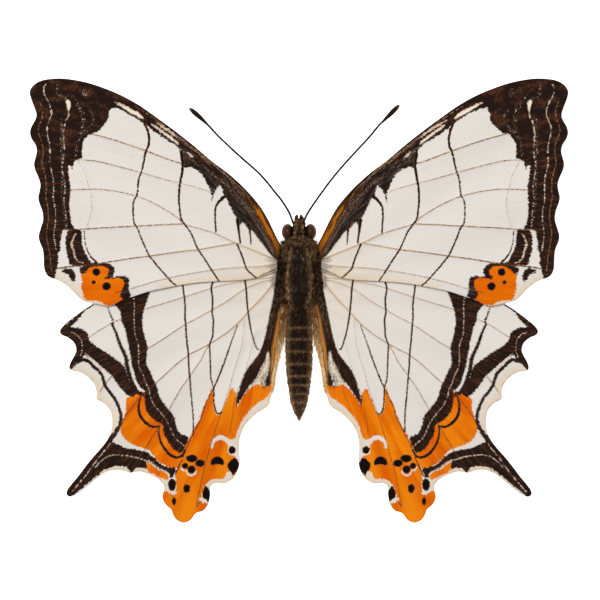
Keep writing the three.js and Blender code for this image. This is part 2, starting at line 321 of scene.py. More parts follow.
HINDWING_OUTLINE = [
    (291, 264), (281, 267), (266, 268), (245, 262), (215, 259.5), (185, 260.5), (155, 265), (128, 274),
    (108, 288), (93.4, 303.4), (84.5, 309.2), (72.9, 317.7), (65.7, 323.5), (61.3, 328.2), (59.9, 332),
    (62.1, 335.1), (67.5, 337.3), (72.9, 341.3), (75.5, 345.4), (76.3, 350.7), (74.2, 356.1), (71.1, 361.4),
    (69.3, 366.8), (70.2, 369.9), (73.3, 370.8), (80, 372.1), (86.3, 375.7), (91.6, 380.6), (95.2, 386.4),
    (96.5, 392.7), (96.1, 398.3), (98.8, 400.7), (103.2, 402.9), (107.7, 407), (110.8, 412.3),
    (112.1, 419.5), (111.7, 427.5), (110, 433.9), (106.4, 441.1), (99.3, 450), (92.1, 458), (85.4, 466.4),
    (77.9, 476.4), (70.7, 485), (67.1, 490.2), (66.3, 494.2), (68.9, 496.7), (73.4, 496), (79.6, 492.4),
    (87.7, 486.2), (94.8, 479.9), (102, 474.3), (110, 470.6), (117.1, 469.8), (124.3, 471), (129.6, 473),
    (134.1, 472.1), (140.4, 471.7), (147.5, 473.7), (154.6, 476.8), (160, 480.8), (163.6, 485.7),
    (163.6, 491.1), (162.1, 496.4), (164, 502.8), (168.2, 507.2), (171.2, 510), (172.6, 514), (174.6, 518),
    (178, 521.2), (183, 523), (188.4, 521.6), (191.8, 518.6), (194.2, 515), (197.5, 512.5), (202.1, 511.4),
    (206.2, 507.4), (208.7, 501.8), (210, 494.6), (209.7, 488.4), (212, 484.4), (216.4, 483),
    (223.6, 483.7), (229.8, 480.8), (234.3, 476.8), (237.9, 469.6), (239.6, 461.6), (239.3, 453.6),
    (238.8, 444.6), (240.3, 435.7), (244.1, 426.8), (250.4, 418.8), (257.5, 412.6), (264.6, 408.5),
    (268.7, 404.5), (270.3, 399), (272.5, 391), (275.2, 378.4), (278.6, 362.3), (281.8, 349), (285, 337),
    (286.5, 320), (287.5, 308), (291, 303),
]

FOREWING_VEINS = [
    Stroke([(91.1, 133.8), (114.3, 140.1), (145.5, 150.8), (163.4, 157.6), (175.9, 162.1), (182.1, 163.4)]),
    Stroke([(70, 159.8), (91.1, 160.6), (105.4, 163.3), (123.2, 167.8), (141.1, 172.7), (163.4, 179),
            (190.2, 185.7), (208.9, 191.5)], (1.3, 1.2, 0.8)),
    Stroke([(60.7, 191), (71.4, 190.1), (91.1, 189.2), (101.8, 189.6), (118.8, 191.9), (136.6, 196.3),
            (150, 201.5), (163.4, 208.5), (176.8, 217), (184.8, 224), (200, 228.8), (216.1, 233.9),
            (235.7, 243.2), (261.6, 253.9), (279, 261.5)], (1.3, 1.2, 1.5)),
    Stroke([(54.5, 230), (75, 229.6), (105.4, 227.8), (135.7, 226.2), (150, 225.5), (167.9, 224.5),
            (184.8, 224)]),
    Stroke([(56.2, 268.8), (75, 266.2), (100, 263.5), (127.7, 259), (150, 256), (183.9, 251.3),
            (198.2, 249.9), (212.5, 247.2), (235.7, 243.2)]),
    Stroke([(115, 292.5), (130.4, 288.9), (150, 282.9), (167, 278.5), (185.7, 274.5), (210.7, 270.4),
            (230.4, 268.2), (261.6, 266.4), (279, 263)], (1.1, 1.1, 1.4)),
    Stroke([(77.7, 160.2), (83, 169.1), (86.6, 177.1), (88.8, 187), (91.5, 196), (91.8, 206.8),
            (90.6, 213.9), (89.3, 219.3), (86.6, 227.3)], (0.5,)),
]

FOREWING_MARKS: Marks = {
    Layer.VEIN: FOREWING_VEINS,
    Layer.DARK: [
        Region([
            (110.7, 108.8), (108.5, 114.6), (108, 120), (104.5, 124.5), (100, 129.4), (95.5, 132.9),
            (91.1, 133.8), (87.5, 136.1), (83.9, 140.5), (82.1, 145.9), (82.1, 152.1), (81.7, 158.4),
            (78.6, 159.6), (74, 162), (72.5, 169.5), (70.5, 166), (68.3, 166.5), (68.8, 174.5),
            (70.1, 182.5), (71, 188.5), (70.3, 196), (69.6, 206.8), (70.5, 215.7), (71.9, 223.8),
            (75, 228.7), (70, 229.6), (63.4, 230), (61.6, 237.1), (60.3, 244.3), (60.7, 249.6), (58.5, 253),
            (58.2, 258), (58.5, 264), (57, 268.5), (55.4, 276), (52, 281), (42, 279), (36, 262), (32, 235),
            (34, 210), (27, 180), (26, 150), (23, 120), (23, 92), (32, 78), (60, 72), (90, 77), (125, 91),
            (160, 113), (180, 129), (215, 157), (237, 174), (264, 203), (279, 228), (294, 244), (294, 275),
            (279, 275), (277.5, 268), (276.5, 261), (272.3, 256.6), (267, 250.4), (262.5, 244.1),
            (257.1, 237.3), (252.7, 231.4), (247.3, 227.7), (244.6, 224.1), (242, 222.3), (240.2, 225),
            (237.9, 225), (236.6, 218.8), (233, 212.5), (229.5, 205.4), (226.3, 198.2), (224.1, 197.3),
            (223.2, 194.6), (222.3, 190.2), (220.5, 185.7), (216.1, 189.3), (213.5, 196), (210.7, 202.7),
            (211.6, 196.4), (210.7, 192), (208, 185.7), (205.4, 180.4), (201.8, 174.1), (196.4, 169.6),
            (189.3, 167), (185.7, 167.9), (183, 168), (182.6, 162.5), (181.2, 155.4), (179.4, 149.2),
            (175.5, 145.6), (167.4, 140.3), (155, 132), (145, 124.6), (136, 118.3), (125.5, 112.1),
            (118, 109), (113, 108.2),
        ]),
        Region([
            (67.9, 231), (65.6, 240.7), (66.1, 249.6), (68.8, 260.4), (71.4, 265), (84, 265.6),
            (96.4, 263.8), (91.1, 262.1), (87.5, 256.8), (83.9, 249.6), (82.1, 242.5), (81.3, 230.5),
            (75, 229.5),
        ]),
        Region([
            (79.5, 269.3), (82.1, 266.6), (87.5, 264.8), (96.4, 263.5), (105.4, 263), (110.7, 264.8),
            (114.3, 268.4), (114.7, 272.9), (113.4, 276.4), (119.6, 276), (125.9, 276.4), (129, 279.1),
            (129.5, 284.5), (129, 289), (131, 294.5), (128.5, 299), (123.2, 299.5), (120.2, 295.5),
            (120.8, 292.4), (122.8, 288.9), (124.1, 282.7), (122.3, 279.1), (117.9, 277.8), (110.7, 278.7),
            (104.5, 278.3), (107.6, 274.8), (108.9, 271.1), (107.6, 268.4), (102.7, 266.3), (96.4, 266.2),
            (89.6, 268.1), (86.3, 271.6), (81.5, 274.3),
        ]),
        Region([
            (61.6, 271.1), (66.1, 268.4), (71.4, 268.8), (75, 272.9), (75.9, 277.3), (74.1, 281.8),
            (71, 280), (68.8, 275.5), (65.2, 273.3),
        ]),
    ],
    Layer.LINE: [
        Region([(278, 248), (294, 246), (294, 282), (278.4, 276), (277.4, 262)]),
        Spot((96.4, 272), (4, 4)),
        Spot((93.8, 282.2), (2.2, 2.2)),
        Spot((106.7, 286.3), (4.4, 4.2)),
        Stroke([(143.8, 119), (145.5, 125.4), (147.8, 130.7), (149.1, 137.9), (148.7, 145.9),
                (146.9, 149.5), (145.1, 155.7), (142.9, 166.4), (141.1, 172.7), (138.8, 179.8),
                (137.1, 195), (134.4, 199.5), (133.2, 206.6), (133.5, 218.4), (134.8, 224.6),
                (137.5, 228.2), (142, 239.8), (148.7, 254.6), (152.7, 259.9), (157.1, 265.5),
                (163.4, 272.7), (171.4, 281.6), (176.8, 286)], (3, 2.4, 1.8, 1.7, 1.8, 1.9, 1.7)),
        Stroke([(181.5, 150), (181.7, 155.4), (182.6, 162.5), (182.8, 167.9), (181.2, 177.7),
                (179.9, 184.8), (179, 193.8), (179, 200.9), (179.9, 210.7), (181.2, 218.8), (184.4, 223.7),
                (186.6, 226.8), (191.1, 233.4), (197.3, 247.7), (204.5, 258.8), (211.6, 270), (219.6, 282)],
               (3.6, 2.6, 2, 1.8, 1.9, 1.8)),
        Stroke([(225, 196.4), (221.4, 199.1), (217, 204.5), (215.6, 208), (215, 216.1), (215.6, 225),
                (215.9, 232.6)], (3.8, 2.2, 1.9, 1.8)),
        Stroke([(237.5, 220), (238.4, 228), (239.7, 237.9), (240.4, 243)], (4, 2.4, 1.8)),
        Stroke([(237, 244), (239.3, 249.5), (242.9, 258.4), (245.5, 266.4), (247.3, 270), (256.2, 278)],
               (2, 2, 1.7)),
        Stroke([(248.2, 223.6), (250, 231.6), (250.9, 244.5)], (3.4, 2, 1.3)),
        Stroke([(256.2, 277.9), (265.2, 273.6), (279, 268)], (0.8, 1.2, 1.4)),
        Stroke([(84.4, 230.9), (85.3, 242.5), (87.5, 250.5), (91.1, 256.8), (96.5, 262.5)], (1.1, 1.3, 2.4)),
        Stroke([(56.2, 268.8), (66, 267.2), (78, 265.6), (97, 263.6)], (0.8, 1.5, 2)),
        Stroke([(97, 263.9), (127.7, 259), (150, 256)], (0.9, 0.3)),
    ],
    Layer.ORANGE: [
        Region([
            (88.6, 266.2), (96.4, 264.5), (103.4, 264.3), (109.4, 267.2), (111, 271.4), (109.4, 275.4),
            (110.7, 277.4), (118.6, 276.4), (123.6, 277.8), (125.9, 282.7), (124.6, 288.9), (122.6, 293.4),
            (124.4, 299), (117.9, 303), (112.5, 305.4), (107.1, 305.4), (102.7, 303.2), (96.4, 300.9),
            (91.1, 300.5), (85, 299.2), (83.1, 293.4), (81.3, 286.3), (82.2, 280.9), (81, 275.5),
            (84.6, 270.2),
        ]),
    ],
    Layer.PALE: [
        Stroke([(46, 84.3), (44.2, 88), (44.2, 92.3), (46, 97.7), (49.6, 103.9), (51.8, 113.8), (49.6, 120),
                (47.8, 125.4), (47.1, 132.5), (49.1, 141.4), (50.4, 150.4), (50, 159.3), (50.4, 166.4),
                (52.2, 173.6), (53.6, 181.6), (53.8, 191), (53.4, 198.5), (55.4, 209.5), (55.8, 218.4),
                (54.9, 227.3), (54, 233.6), (54.9, 242.5), (56.3, 251)], (0.6, 0.9, 0.7, 0.7, 0.6)),
        Region([(114.3, 102.2), (121.4, 104), (132.1, 109.1), (140.2, 113.7), (144.2, 118.4),
                (140.5, 118.2), (130.4, 112.9), (121.4, 107)]),
        Region([(151.5, 120.4), (158, 123), (165.2, 127), (175.5, 134.6), (177, 137.6), (170, 133),
                (161, 126.8)]),
        Region([(151.5, 123.4), (158, 127.2), (168, 134), (176.6, 140.8), (178.4, 144.8), (172.3, 140.8),
                (161.6, 132.8), (153.5, 126.6)]),
        Region([(65.6, 101.2), (68.6, 99.6), (70.8, 103), (70.6, 108.6), (68.6, 113.4), (67.4, 107.8)]),
        Stroke([(68.8, 112), (68.8, 115.5), (65.6, 121.8), (64.3, 128), (63.4, 134.3), (64.3, 145.9),
                (64.3, 154.8), (62.5, 163.8), (62.5, 170), (64.3, 179.8), (65.2, 188.8), (64.3, 197.7),
                (65.4, 208), (66.2, 218.4), (66.8, 227.3)], (0.9, 0.5, 0.4)),
        Spot((72.4, 246.1), (1.2, 2.2)),
        Stroke([(75.9, 233.6), (73.2, 238.9), (71.4, 245.2), (73.7, 250.5), (75, 256.8), (78.6, 261.7),
                (83, 262.6)], (1, 1.8, 1.5, 0.7)),
        Region([(186.6, 151.6), (190, 153), (194, 157), (190.4, 156.2)]),
    ],
    Layer.COPPER: [
        Stroke([(39.3, 101.3), (41.5, 106.6), (42.6, 113.8), (41.5, 120), (39.3, 125.4), (38.4, 130.7),
                (39.7, 136.1), (42.4, 144.1), (43.6, 152.1), (42.4, 159.3), (42.4, 164.6), (43.8, 170),
                (46, 178.9), (46.6, 187.9), (46, 197), (48, 208.6), (48.7, 218.4), (47.3, 226.4),
                (46.7, 235.4), (48.4, 246.1), (50, 255), (50.9, 263.9), (51.8, 271.1)], (0.9, 1, 1, 0.9)),
        Stroke([(134, 105.5), (150, 115.5), (162, 124), (174.8, 134.8), (192.6, 148.9), (210, 164.1)],
               (0.7, 1.2, 1.5)),
        Stroke([(176, 134.6), (194, 148.6), (212, 163), (228, 176.6), (244, 191.4)], (1, 1.6, 1.2)),
        Stroke([(214, 176), (230, 188), (244, 204), (256, 222), (266, 240), (273, 254)], (0.6,)),
        Stroke([(220, 178), (236, 193), (250, 209), (261, 226), (270, 244), (275, 255)], (0.6,)),
    ],
    Layer.MOTTLE: [
        Stroke([(58.5, 84.3), (57.6, 89.6), (59.4, 95), (63.4, 96.8), (67, 101)], (2.6, 3)),
        Stroke([(62, 120), (62, 160), (63.4, 200), (66, 227)], (2.4, 2, 1.6)),
        Spot((85.7, 93.2), (3.4, 3.8)),
        Stroke([(89.7, 109.3), (93.8, 117.3), (92.9, 122.7), (89.3, 128), (82.1, 134.3), (77.7, 141.4),
                (76.8, 148.6), (75.9, 155.7)], (1.6, 2.6, 1.6)),
        Stroke([(178, 147), (186, 153), (192, 160), (200, 167)], (2, 4, 3, 2)),
        Stroke([(214, 165), (223.6, 173.6), (229.3, 179.3), (236, 188.9), (242.7, 196.6), (249.4, 206.1),
                (256.1, 215.7), (263.8, 228.1), (269.5, 240.6), (274.3, 252)], (1, 1.9, 1.7)),
        Stroke([(212, 172), (221.7, 181.2), (232.2, 191.8), (239.9, 201.3), (248, 212), (256, 224),
                (266, 240), (272, 252)], (1, 1.7, 1.4)),
        Stroke([(200, 160), (206, 168), (213, 177)], (1.4, 2.4, 1)),
        Stroke([(278.6, 260), (279, 268), (279, 276)], (2.4,)),
        Stroke([(72, 96), (80, 108), (84, 122), (80, 134)], (2, 4, 3, 1)),
    ],
    Layer.AMBER: [
        Stroke([(236, 185.4), (247, 197), (257.4, 210.3), (266.4, 226), (272.6, 238.5), (277.6, 249),
                (279, 257)], (1, 2.6, 4.6, 6, 7, 7.4, 6)),
    ],
    Layer.TAN: [
        Stroke([(53.6, 279.1), (60.7, 281.6), (67, 285.4), (73.2, 291.2), (79.5, 297.9), (84.8, 301.4),
                (92, 303.2), (100.9, 305), (112, 305)], (2.6, 3, 2)),
        Stroke([(163, 288.6), (190, 283.8), (219.6, 281.3), (245, 280.3), (267, 274.6)], (1, 1.6, 2)),
    ],
    Layer.SMUDGE: [
        Stroke([(278, 262), (272.5, 261.4), (266.5, 260)], (5, 3.2, 0.8)),
        Stroke([(278, 265), (272.5, 266), (266.5, 267.4)], (5, 3.2, 0.8)),
        Stroke([(277, 260), (273, 258.4), (268.5, 257.4)], (4, 2.4, 0.8)),
        Spot((274.4, 269.5), (4.4, 4)),
    ],
}

HINDWING_VEINS = [
    Stroke([(276, 277), (255, 279.5), (228, 284), (211.6, 288.3), (183.9, 297.2), (167.9, 302.1),
            (145.2, 309.2), (130.9, 315.4), (122, 318.6), (112.1, 323), (100.5, 329.7), (89.8, 336.9),
            (84.5, 340.9)], (1.3, 1.1, 1.1)),
    Stroke([(277, 279), (259.8, 282.5), (243.8, 289.6), (226.8, 301.3), (211.6, 310.2), (199.1, 317.3),
            (185.3, 324.5), (171.1, 333.8), (157.7, 342.7), (147, 348.9), (135.4, 356.1), (129.1, 359.6),
            (121.1, 367.7), (113, 374.8), (105, 383.8), (99.6, 391.8)], (1.2,)),
    Stroke([(279, 279), (273.7, 283), (263.4, 295.9), (248.2, 312), (239.3, 321.8), (225.9, 333.4),
            (209.8, 343.7), (195, 351.6), (188.5, 355), (175.5, 365), (162.1, 377.5), (148.8, 389.1),
            (139.8, 397.1), (133.6, 405.2), (125.5, 415.9), (119.3, 427), (113.6, 437.5)], (1.6, 1.3, 1.3)),
    Stroke([(209.8, 343.7), (203.6, 353.9), (200.3, 361), (189.2, 377), (180, 390), (168.6, 410.3),
            (159.6, 424.6), (152.9, 435.7), (143.9, 450.9), (138.6, 458), (131.4, 469.6)], (1.2,)),
    Stroke([(244, 318), (242.1, 341.8), (238.6, 356.1), (233.2, 373), (229.6, 387.3), (223.4, 406.1),
            (219, 418.5), (214.8, 431.5), (210.5, 445.5), (207, 458), (202.1, 475.9), (198.6, 493.8),
            (195.9, 507.1)], (0.5, 0.8, 1.1, 1)),
    Stroke([(256, 330), (252, 345.4), (248.4, 359.6), (245.7, 369.5), (239, 388), (234.1, 402.5),
            (229.6, 434.6)], (0.4, 0.7, 0.9)),
]

HINDWING_MARKS: Marks = {
    Layer.VEIN: HINDWING_VEINS,
    Layer.DARK: [
        Region([
            (149.5, 288), (146.1, 303.4), (143.4, 312.3), (142.5, 321.3), (143.4, 330.2), (145.2, 338.2),
            (147.4, 345.4), (147, 354.3), (146.5, 364.1), (150.5, 372.1), (154.1, 381.1), (157.7, 388.2),
            (159.5, 396.3), (166.8, 407.5), (174, 416), (175.9, 425.5), (179.6, 433), (185, 435.7),
            (188.6, 437.5), (187, 443), (185, 447.3), (181.4, 452.7), (177, 451.8), (171.6, 447.3),
            (167.1, 440.2), (163.6, 433.9), (162.7, 425.9), (160, 423.2), (156, 421.3), (150.3, 416.5),
            (146.3, 410), (144.6, 402.5), (144.3, 395.4), (144.3, 390.9), (140.7, 388.2), (137.1, 382.9),
            (134.5, 374.8), (131.8, 365.9), (130.9, 357.9), (129.1, 350.7), (128.2, 343.6), (126.4, 336.4),
            (124.6, 328.4), (121.1, 320.4), (121.1, 316.8), (119.3, 310.5), (112, 300), (128, 291),
        ]),
        Region([
            (93.4, 305.2), (84.5, 311.4), (78.2, 319.5), (72.9, 324.8), (71.1, 327.1), (78.2, 327.5),
            (84.5, 330.2), (87.6, 333.8), (89.4, 340), (97, 347.1), (105, 351.6), (113.9, 357.9),
            (121.1, 363.2), (125.5, 368.6), (128, 376), (132, 385), (137, 392), (131.8, 397.1),
            (126.4, 394.5), (122.9, 390.9), (117.5, 384.6), (113, 377.5), (108.6, 373), (101.4, 366.8),
            (94.3, 360.5), (85.4, 355.2), (83.4, 357), (80.9, 360.5), (76, 364.5), (71, 369.5), (63, 371),
            (65, 362), (70, 355), (73, 348), (68, 341), (60, 338), (54, 333), (57, 325), (70, 313),
            (90, 300),
        ]),
        Stroke([(107.7, 307), (110.4, 315), (113, 321.3), (112.1, 324.4), (115.7, 332), (118.4, 340),
                (121.1, 347.1), (124.6, 354.3), (126.4, 359.6), (127.3, 366.8), (129.1, 374.8),
                (132.7, 384.6), (137.1, 391.8), (142.5, 394.5)], (0.9, 2.4, 3.4, 4, 4.4, 4.4)),
        Stroke([(78, 361.5), (85.4, 359.6), (90.7, 363.2), (96.1, 368.6), (100.5, 373), (103.2, 379.3),
                (105, 385.5), (108.6, 390.9), (114.5, 398.5), (118.5, 406.5), (120.7, 414), (120.9, 420),
                (119.6, 425.5), (116.3, 431.3), (110, 440)], (4, 3.4, 3.2, 3.4, 5)),
        Region([
            (110, 440), (113.6, 442.4), (118.9, 444.6), (126.1, 448.2), (134.1, 449.1), (140.4, 450.9),
            (145.7, 451.8), (151.1, 455.3), (156.4, 460.2), (160.9, 464.2), (167.1, 467), (174.7, 467.8),
            (175.4, 471.4), (172.9, 477), (169.6, 478), (168.4, 473.2), (162.7, 471.2), (157.3, 468.5),
            (152, 464.4), (146.3, 461.5), (146.9, 468.8), (140.4, 467.8), (135, 469), (131.4, 473),
            (127.9, 468.5), (122.5, 466.6), (115.4, 466.4), (108.2, 468.2), (102, 471.8), (92, 480),
            (82, 488.5), (74, 494.5), (68, 499), (62, 495), (68, 486), (78, 474), (88, 461.5), (97, 450.5),
            (105, 441.5), (108, 436),
        ]),
        Region([
            (294, 262), (277, 264), (275.8, 272), (274.8, 287.9), (272.3, 300.4), (269.6, 313.8),
            (267, 327.1), (264, 340), (260, 351.6), (254.6, 359.6), (247.5, 368.6), (243, 377.5),
            (239.5, 388.2), (236.8, 397.1), (235.7, 407), (238.6, 402.5), (244.8, 393.6), (249.3, 386.4),
            (254.6, 380.2), (258.2, 373.9), (261.8, 365.9), (265.4, 359.6), (267.8, 351), (269.4, 356),
            (269.2, 368), (267, 377), (265.4, 380.5), (265.4, 385), (267.6, 386.4), (269.6, 384.6),
            (271.2, 376), (272.4, 362), (274.4, 341), (276.4, 331.6), (278.7, 318.2), (280.6, 309),
            (284, 307), (294, 307),
        ]),
    ],
    Layer.LINE: [
        Stroke([(140.7, 396.3), (138.8, 404), (138.9, 411), (141, 417.5), (146, 423), (152, 426.7),
                (159.3, 426.3)], (1.8, 3, 3.4, 2.2)),
        Stroke([(158.7, 427.7), (158.7, 433.9), (160.9, 442.9), (165.4, 450), (170.7, 455.4), (177, 457.6),
                (182.3, 455.4), (185, 450)], (1.8, 2.8, 3.2, 2.2)),
        Spot((232, 450.2), (3.8, 4)),
        Region([(210.4, 463.5), (211.5, 459.5), (215, 456.8), (219, 456.5), (222.5, 458.8), (224.1, 463),
                (223, 465.5), (217, 464.6), (212, 465.5)]),
        Region([(230, 460.9), (232.3, 458.5), (235.7, 458), (238.1, 461.3), (239.4, 465.2), (237.8, 470),
                (234.7, 474.3), (232.6, 476.2), (231.4, 473.3), (229, 470.4), (227.3, 467.1),
                (227.6, 463.3)]),
        Spot((191.8, 458.6), (6, 4)),
        Spot((200, 463.4), (5, 3.8)),
        Spot((184.9, 465.8), (3.2, 3.2)),
        Spot((191.3, 469.6), (4.1, 4.2)),
        Spot((186.7, 488.8), (3.6, 4.6)),
        Spot((171.9, 484.8), (4, 6.4)),
        Spot((173.8, 501.4), (2.3, 4.2)),
        Region([(205.5, 485.7), (208.9, 490), (210.2, 493.9), (208.8, 503), (206, 500.1), (202.7, 498.2),
                (202, 493.9), (203.6, 489.1)]),
        Spot((196.9, 506), (0.7, 1.6)),
        Spot((198.6, 503.4), (0.7, 1.4)),
        Stroke([(244.6, 279), (246, 287.9), (246.9, 300.4), (247.8, 310.2), (248.7, 316.4), (250.4, 327.1),
                (252.7, 337), (256.3, 347.7), (258.5, 349.5)], (2.1, 1.9, 1.6)),
        Stroke([(213.4, 281), (211.2, 287.9), (212.5, 297.7), (212.5, 305.7), (212, 312), (213.4, 320),
                (212.9, 329.8), (212.5, 337), (209.7, 344.5), (210, 354.3), (210.4, 366.8), (210.9, 378.4),
                (213.6, 389.1), (214, 402.5), (215.8, 411.4), (218, 414.1), (221.6, 412)],
               (2, 1.9, 1.6, 1.8)),
        Stroke([(182.6, 284), (183.5, 291.4), (184.5, 298.7), (185.1, 307), (185, 318), (185.7, 325.4),
                (186.7, 340), (188.2, 353.5), (188.8, 367.5), (189.9, 378.5), (190.8, 391.5), (192.3, 407),
                (193.2, 420), (193, 435)], (1.9, 1.9, 1.5)),
        Stroke([(237.5, 325), (231.3, 342.1), (225.3, 359.5), (219.8, 373.9), (213.5, 389)],
               (1.1, 1.8, 1.7)),
        Stroke([(212.7, 390), (210, 395.4), (204.6, 407), (201.3, 417.9), (193.4, 433), (187, 446.8),
                (182.3, 458.8), (177, 470.4), (174.4, 476)], (1.2, 1.1, 1.5)),
    ],
    Layer.ORANGE: [
        Region([
            (133.6, 394), (129.1, 396.3), (126, 399), (126.1, 406.5), (125.5, 412), (122.5, 420.5),
            (120.3, 428.6), (122.5, 435.7), (127.9, 442), (135, 445.5), (142.1, 448.2), (148.4, 450),
            (152.9, 455.4), (158.2, 461.6), (165.4, 466.1), (175.8, 469), (181, 464), (185, 455),
            (189, 443.5), (178, 433), (172, 423), (163, 412), (154, 402), (147, 394), (140, 391),
        ]),
        Region([
            (211.4, 388.5), (208.8, 395.4), (203.2, 407), (199.8, 417.9), (191.8, 433), (185.4, 446.8),
            (180.8, 458.8), (176.2, 470.4), (175.6, 478), (176, 488), (175.6, 494.4), (171, 494),
            (167, 491.6), (160, 491), (156, 498), (163, 508), (171, 517), (178, 527), (187, 528),
            (194, 520), (200, 515), (208, 511), (209.5, 503.6), (203, 503), (201.2, 499), (202.6, 493),
            (205, 485.6), (211, 480.3), (217, 479.3), (222, 479.2), (224.6, 477.4), (226.4, 473.6),
            (228.8, 471.4), (233, 468), (236.4, 458), (233, 455.8), (229.6, 454.6), (228.2, 451),
            (228.2, 446), (228.8, 441), (235, 438.2), (236.8, 434.6), (238.6, 427.5), (242.1, 420.4),
            (247.5, 413.2), (254.6, 406.1), (260.9, 401.6), (267.1, 397.1), (270.8, 391), (272.2, 381),
            (270.2, 379), (268.4, 385), (261.8, 386), (256.5, 384.5), (251, 387.5), (245.5, 392.6),
            (240, 400), (237.6, 406), (236.8, 396), (235, 391.7), (231.4, 388.5), (228.8, 393.6),
            (226.1, 400.7), (223.4, 406.1), (221.6, 411.4), (218, 415), (215, 411.4), (213.6, 402.5),
            (213.6, 391),
        ]),
        Region([(146.4, 461.8), (152.9, 465.6), (158.2, 470), (166.3, 473.2), (168.5, 477.7), (166.1, 480),
                (160.9, 477.7), (153.8, 474.1), (147, 470.6)]),
    ],
    Layer.GROUND: [
        Stroke([(211.8, 447.5), (213, 442), (216.6, 438.6), (220.5, 437.6), (225.2, 439.2), (229.5, 443)],
               (2.4, 4.4, 4.6)),
        Stroke([(186.4, 471), (187.6, 474), (191, 475.6), (194.4, 474.2), (196.2, 471)], (1.4, 1.8, 1.2)),
        Stroke([(181, 467.6), (182.6, 470), (186, 471)], (1.4,)),
        Stroke([(213, 481), (208.6, 484.6), (207.4, 487)], (3, 3.6, 2)),
        Stroke([(199.6, 499.6), (203.4, 499.4), (207.6, 502.4)], (2, 2.6, 2.4)),
    ],
    Layer.PALE: [
        Stroke([(132.6, 292), (134.5, 306.1), (134, 315), (134.5, 325.7), (134.9, 334.6), (138, 343.6),
                (138.9, 352.5), (138.5, 361.4), (139.8, 368.6), (143.4, 375.7), (146.1, 383.8),
                (148.8, 389.1), (150.5, 397.1), (154.5, 405.5), (160.4, 412.5), (166.5, 420.5), (171, 430),
                (175.2, 438.4), (180.5, 442.9), (184.5, 446.4)], (0.5, 0.55, 0.5)),
        Stroke([(91, 303.5), (82, 310.5), (73, 318.5), (66.5, 325)], (0.3, 0.4, 0.2)),
        Stroke([(71.1, 332), (76.4, 334.6), (80.9, 339.1), (82.2, 345.4), (81.8, 351.6), (80, 357)], (0.5,)),
        Stroke([(85.4, 353.4), (90.7, 357.9), (97, 364.1), (102, 370)], (0.5, 1, 2)),
        Stroke([(110, 443.5), (106.4, 448.2), (95.7, 461.6), (86.8, 474.1), (76.1, 486.6), (71.6, 492)],
               (0.5, 0.7, 0.5)),
        Stroke([(95, 467), (101.1, 461.2), (106.4, 457.1), (113.6, 455.2), (122.5, 455.4), (131.4, 456.7),
                (138.6, 458.5), (144.3, 460), (149.6, 461.6), (154.4, 465), (159.1, 468.8), (164.9, 471.2),
                (168.7, 474.6)], (0.6, 0.9, 1.3)),
    ],
    Layer.SMUDGE: [
        Spot((266, 381), (6, 8)),
        Stroke([(264, 361), (258.4, 373), (253, 384)], (4, 4, 3)),
        Stroke([(271, 352), (269.6, 364), (268, 376)], (2, 3, 4)),
        Stroke([(125.5, 294), (124.5, 306), (127, 318), (130, 330)], (7, 6, 4)),
        # Under the front of the fold hair: painted shade, so that the ground between the hairs shows dark.
        Stroke([(285, 304), (283.6, 316), (282, 330)], (9, 8, 3)),
        Stroke([(275.5, 274), (273.2, 280), (274, 288)], (5, 5, 3)),
    ],
    Layer.MOTTLE: [
        Stroke([(278, 292), (274, 315), (269.4, 338)], (3, 2.4, 1)),
    ],
    Layer.AMBER: [
        Stroke([(281.5, 300), (280.2, 309.3), (278.8, 319), (275.2, 341), (273.8, 350), (272.4, 364),
                (271, 374), (270.6, 383)], (2.6, 4.4, 5.4, 4.6, 1.2)),
    ],
    Layer.TAN: [
        Region([
            (284, 298), (280, 309), (278.6, 320), (275, 341), (273.6, 350), (272.4, 364), (270.6, 376),
            (269.8, 388), (269.6, 394), (266, 405), (273, 404), (280, 370), (290, 340), (291, 305),
        ]),
        Stroke([(69.8, 370.6), (80, 372.6), (86.3, 376), (91.6, 381), (95.2, 386.4), (96.5, 392.7),
                (96.1, 398.3), (103.2, 403.2), (107.7, 407), (110.8, 412.3), (112.1, 419.5), (111.7, 428)],
               (2.4, 3.6, 4, 3)),
        Stroke([(94.8, 479.9), (102, 474.3), (110, 470.6), (117.1, 469.8), (124.3, 471), (129.6, 473),
                (140.4, 471.7), (147.5, 473.7), (154.6, 476.8), (160, 480.8), (163.6, 485.7)],
               (2, 3.4, 3.6, 3)),
        Stroke([(270.3, 399), (264.6, 408.5), (257.5, 412.6), (250.4, 418.8), (244.1, 426.8),
                (240.3, 435.7), (238.8, 444.6)], (2.6, 3.4, 2.8)),
        Stroke([(237.9, 469.6), (229.8, 480.8), (223.6, 483.7), (216.4, 483), (210.4, 486)], (2.4,)),
        Stroke([(268.6, 350), (264.6, 365), (257.6, 381)], (1, 3, 3)),
        Stroke([(163.6, 491), (162.1, 496.4), (168.9, 508.5), (176.4, 519.2), (183, 523), (189.6, 521),
                (197.7, 512.7)], (1,)),
    ],
}


@dataclass(frozen=True)
class WingSurface:
    """The middle surface of a wing, in millimetres: it rises outward and ripples in a fan about the root."""

    root_z: float = 3.5
    lift: float = 0.045
    fold: float = 0.1
    fold_radius: float = 15.0
    folds: float = 18.0
    drop: float = 0.0
    sag: float = 0.0
    sag_start_px: float = 312.0

    def height(self, x: np.ndarray, y: np.ndarray) -> np.ndarray:
        """Height over the floor: root, lift outward and a fan ripple, less the drop and a quadratic sag.

        Args:
            x: Distances across, of either sign.
            y: Distances along the body.

        Returns:
            The heights.
        """
        out = np.abs(x)
        ripple = self.fold * np.hypot(out, y) / self.fold_radius * np.sin(self.folds * np.arctan2(y, out))
        start = VIEW.along(self.sag_start_px)
        behind = np.maximum(0, start - y)
        return self.root_z + self.lift * out + ripple - self.drop - self.sag * behind**2


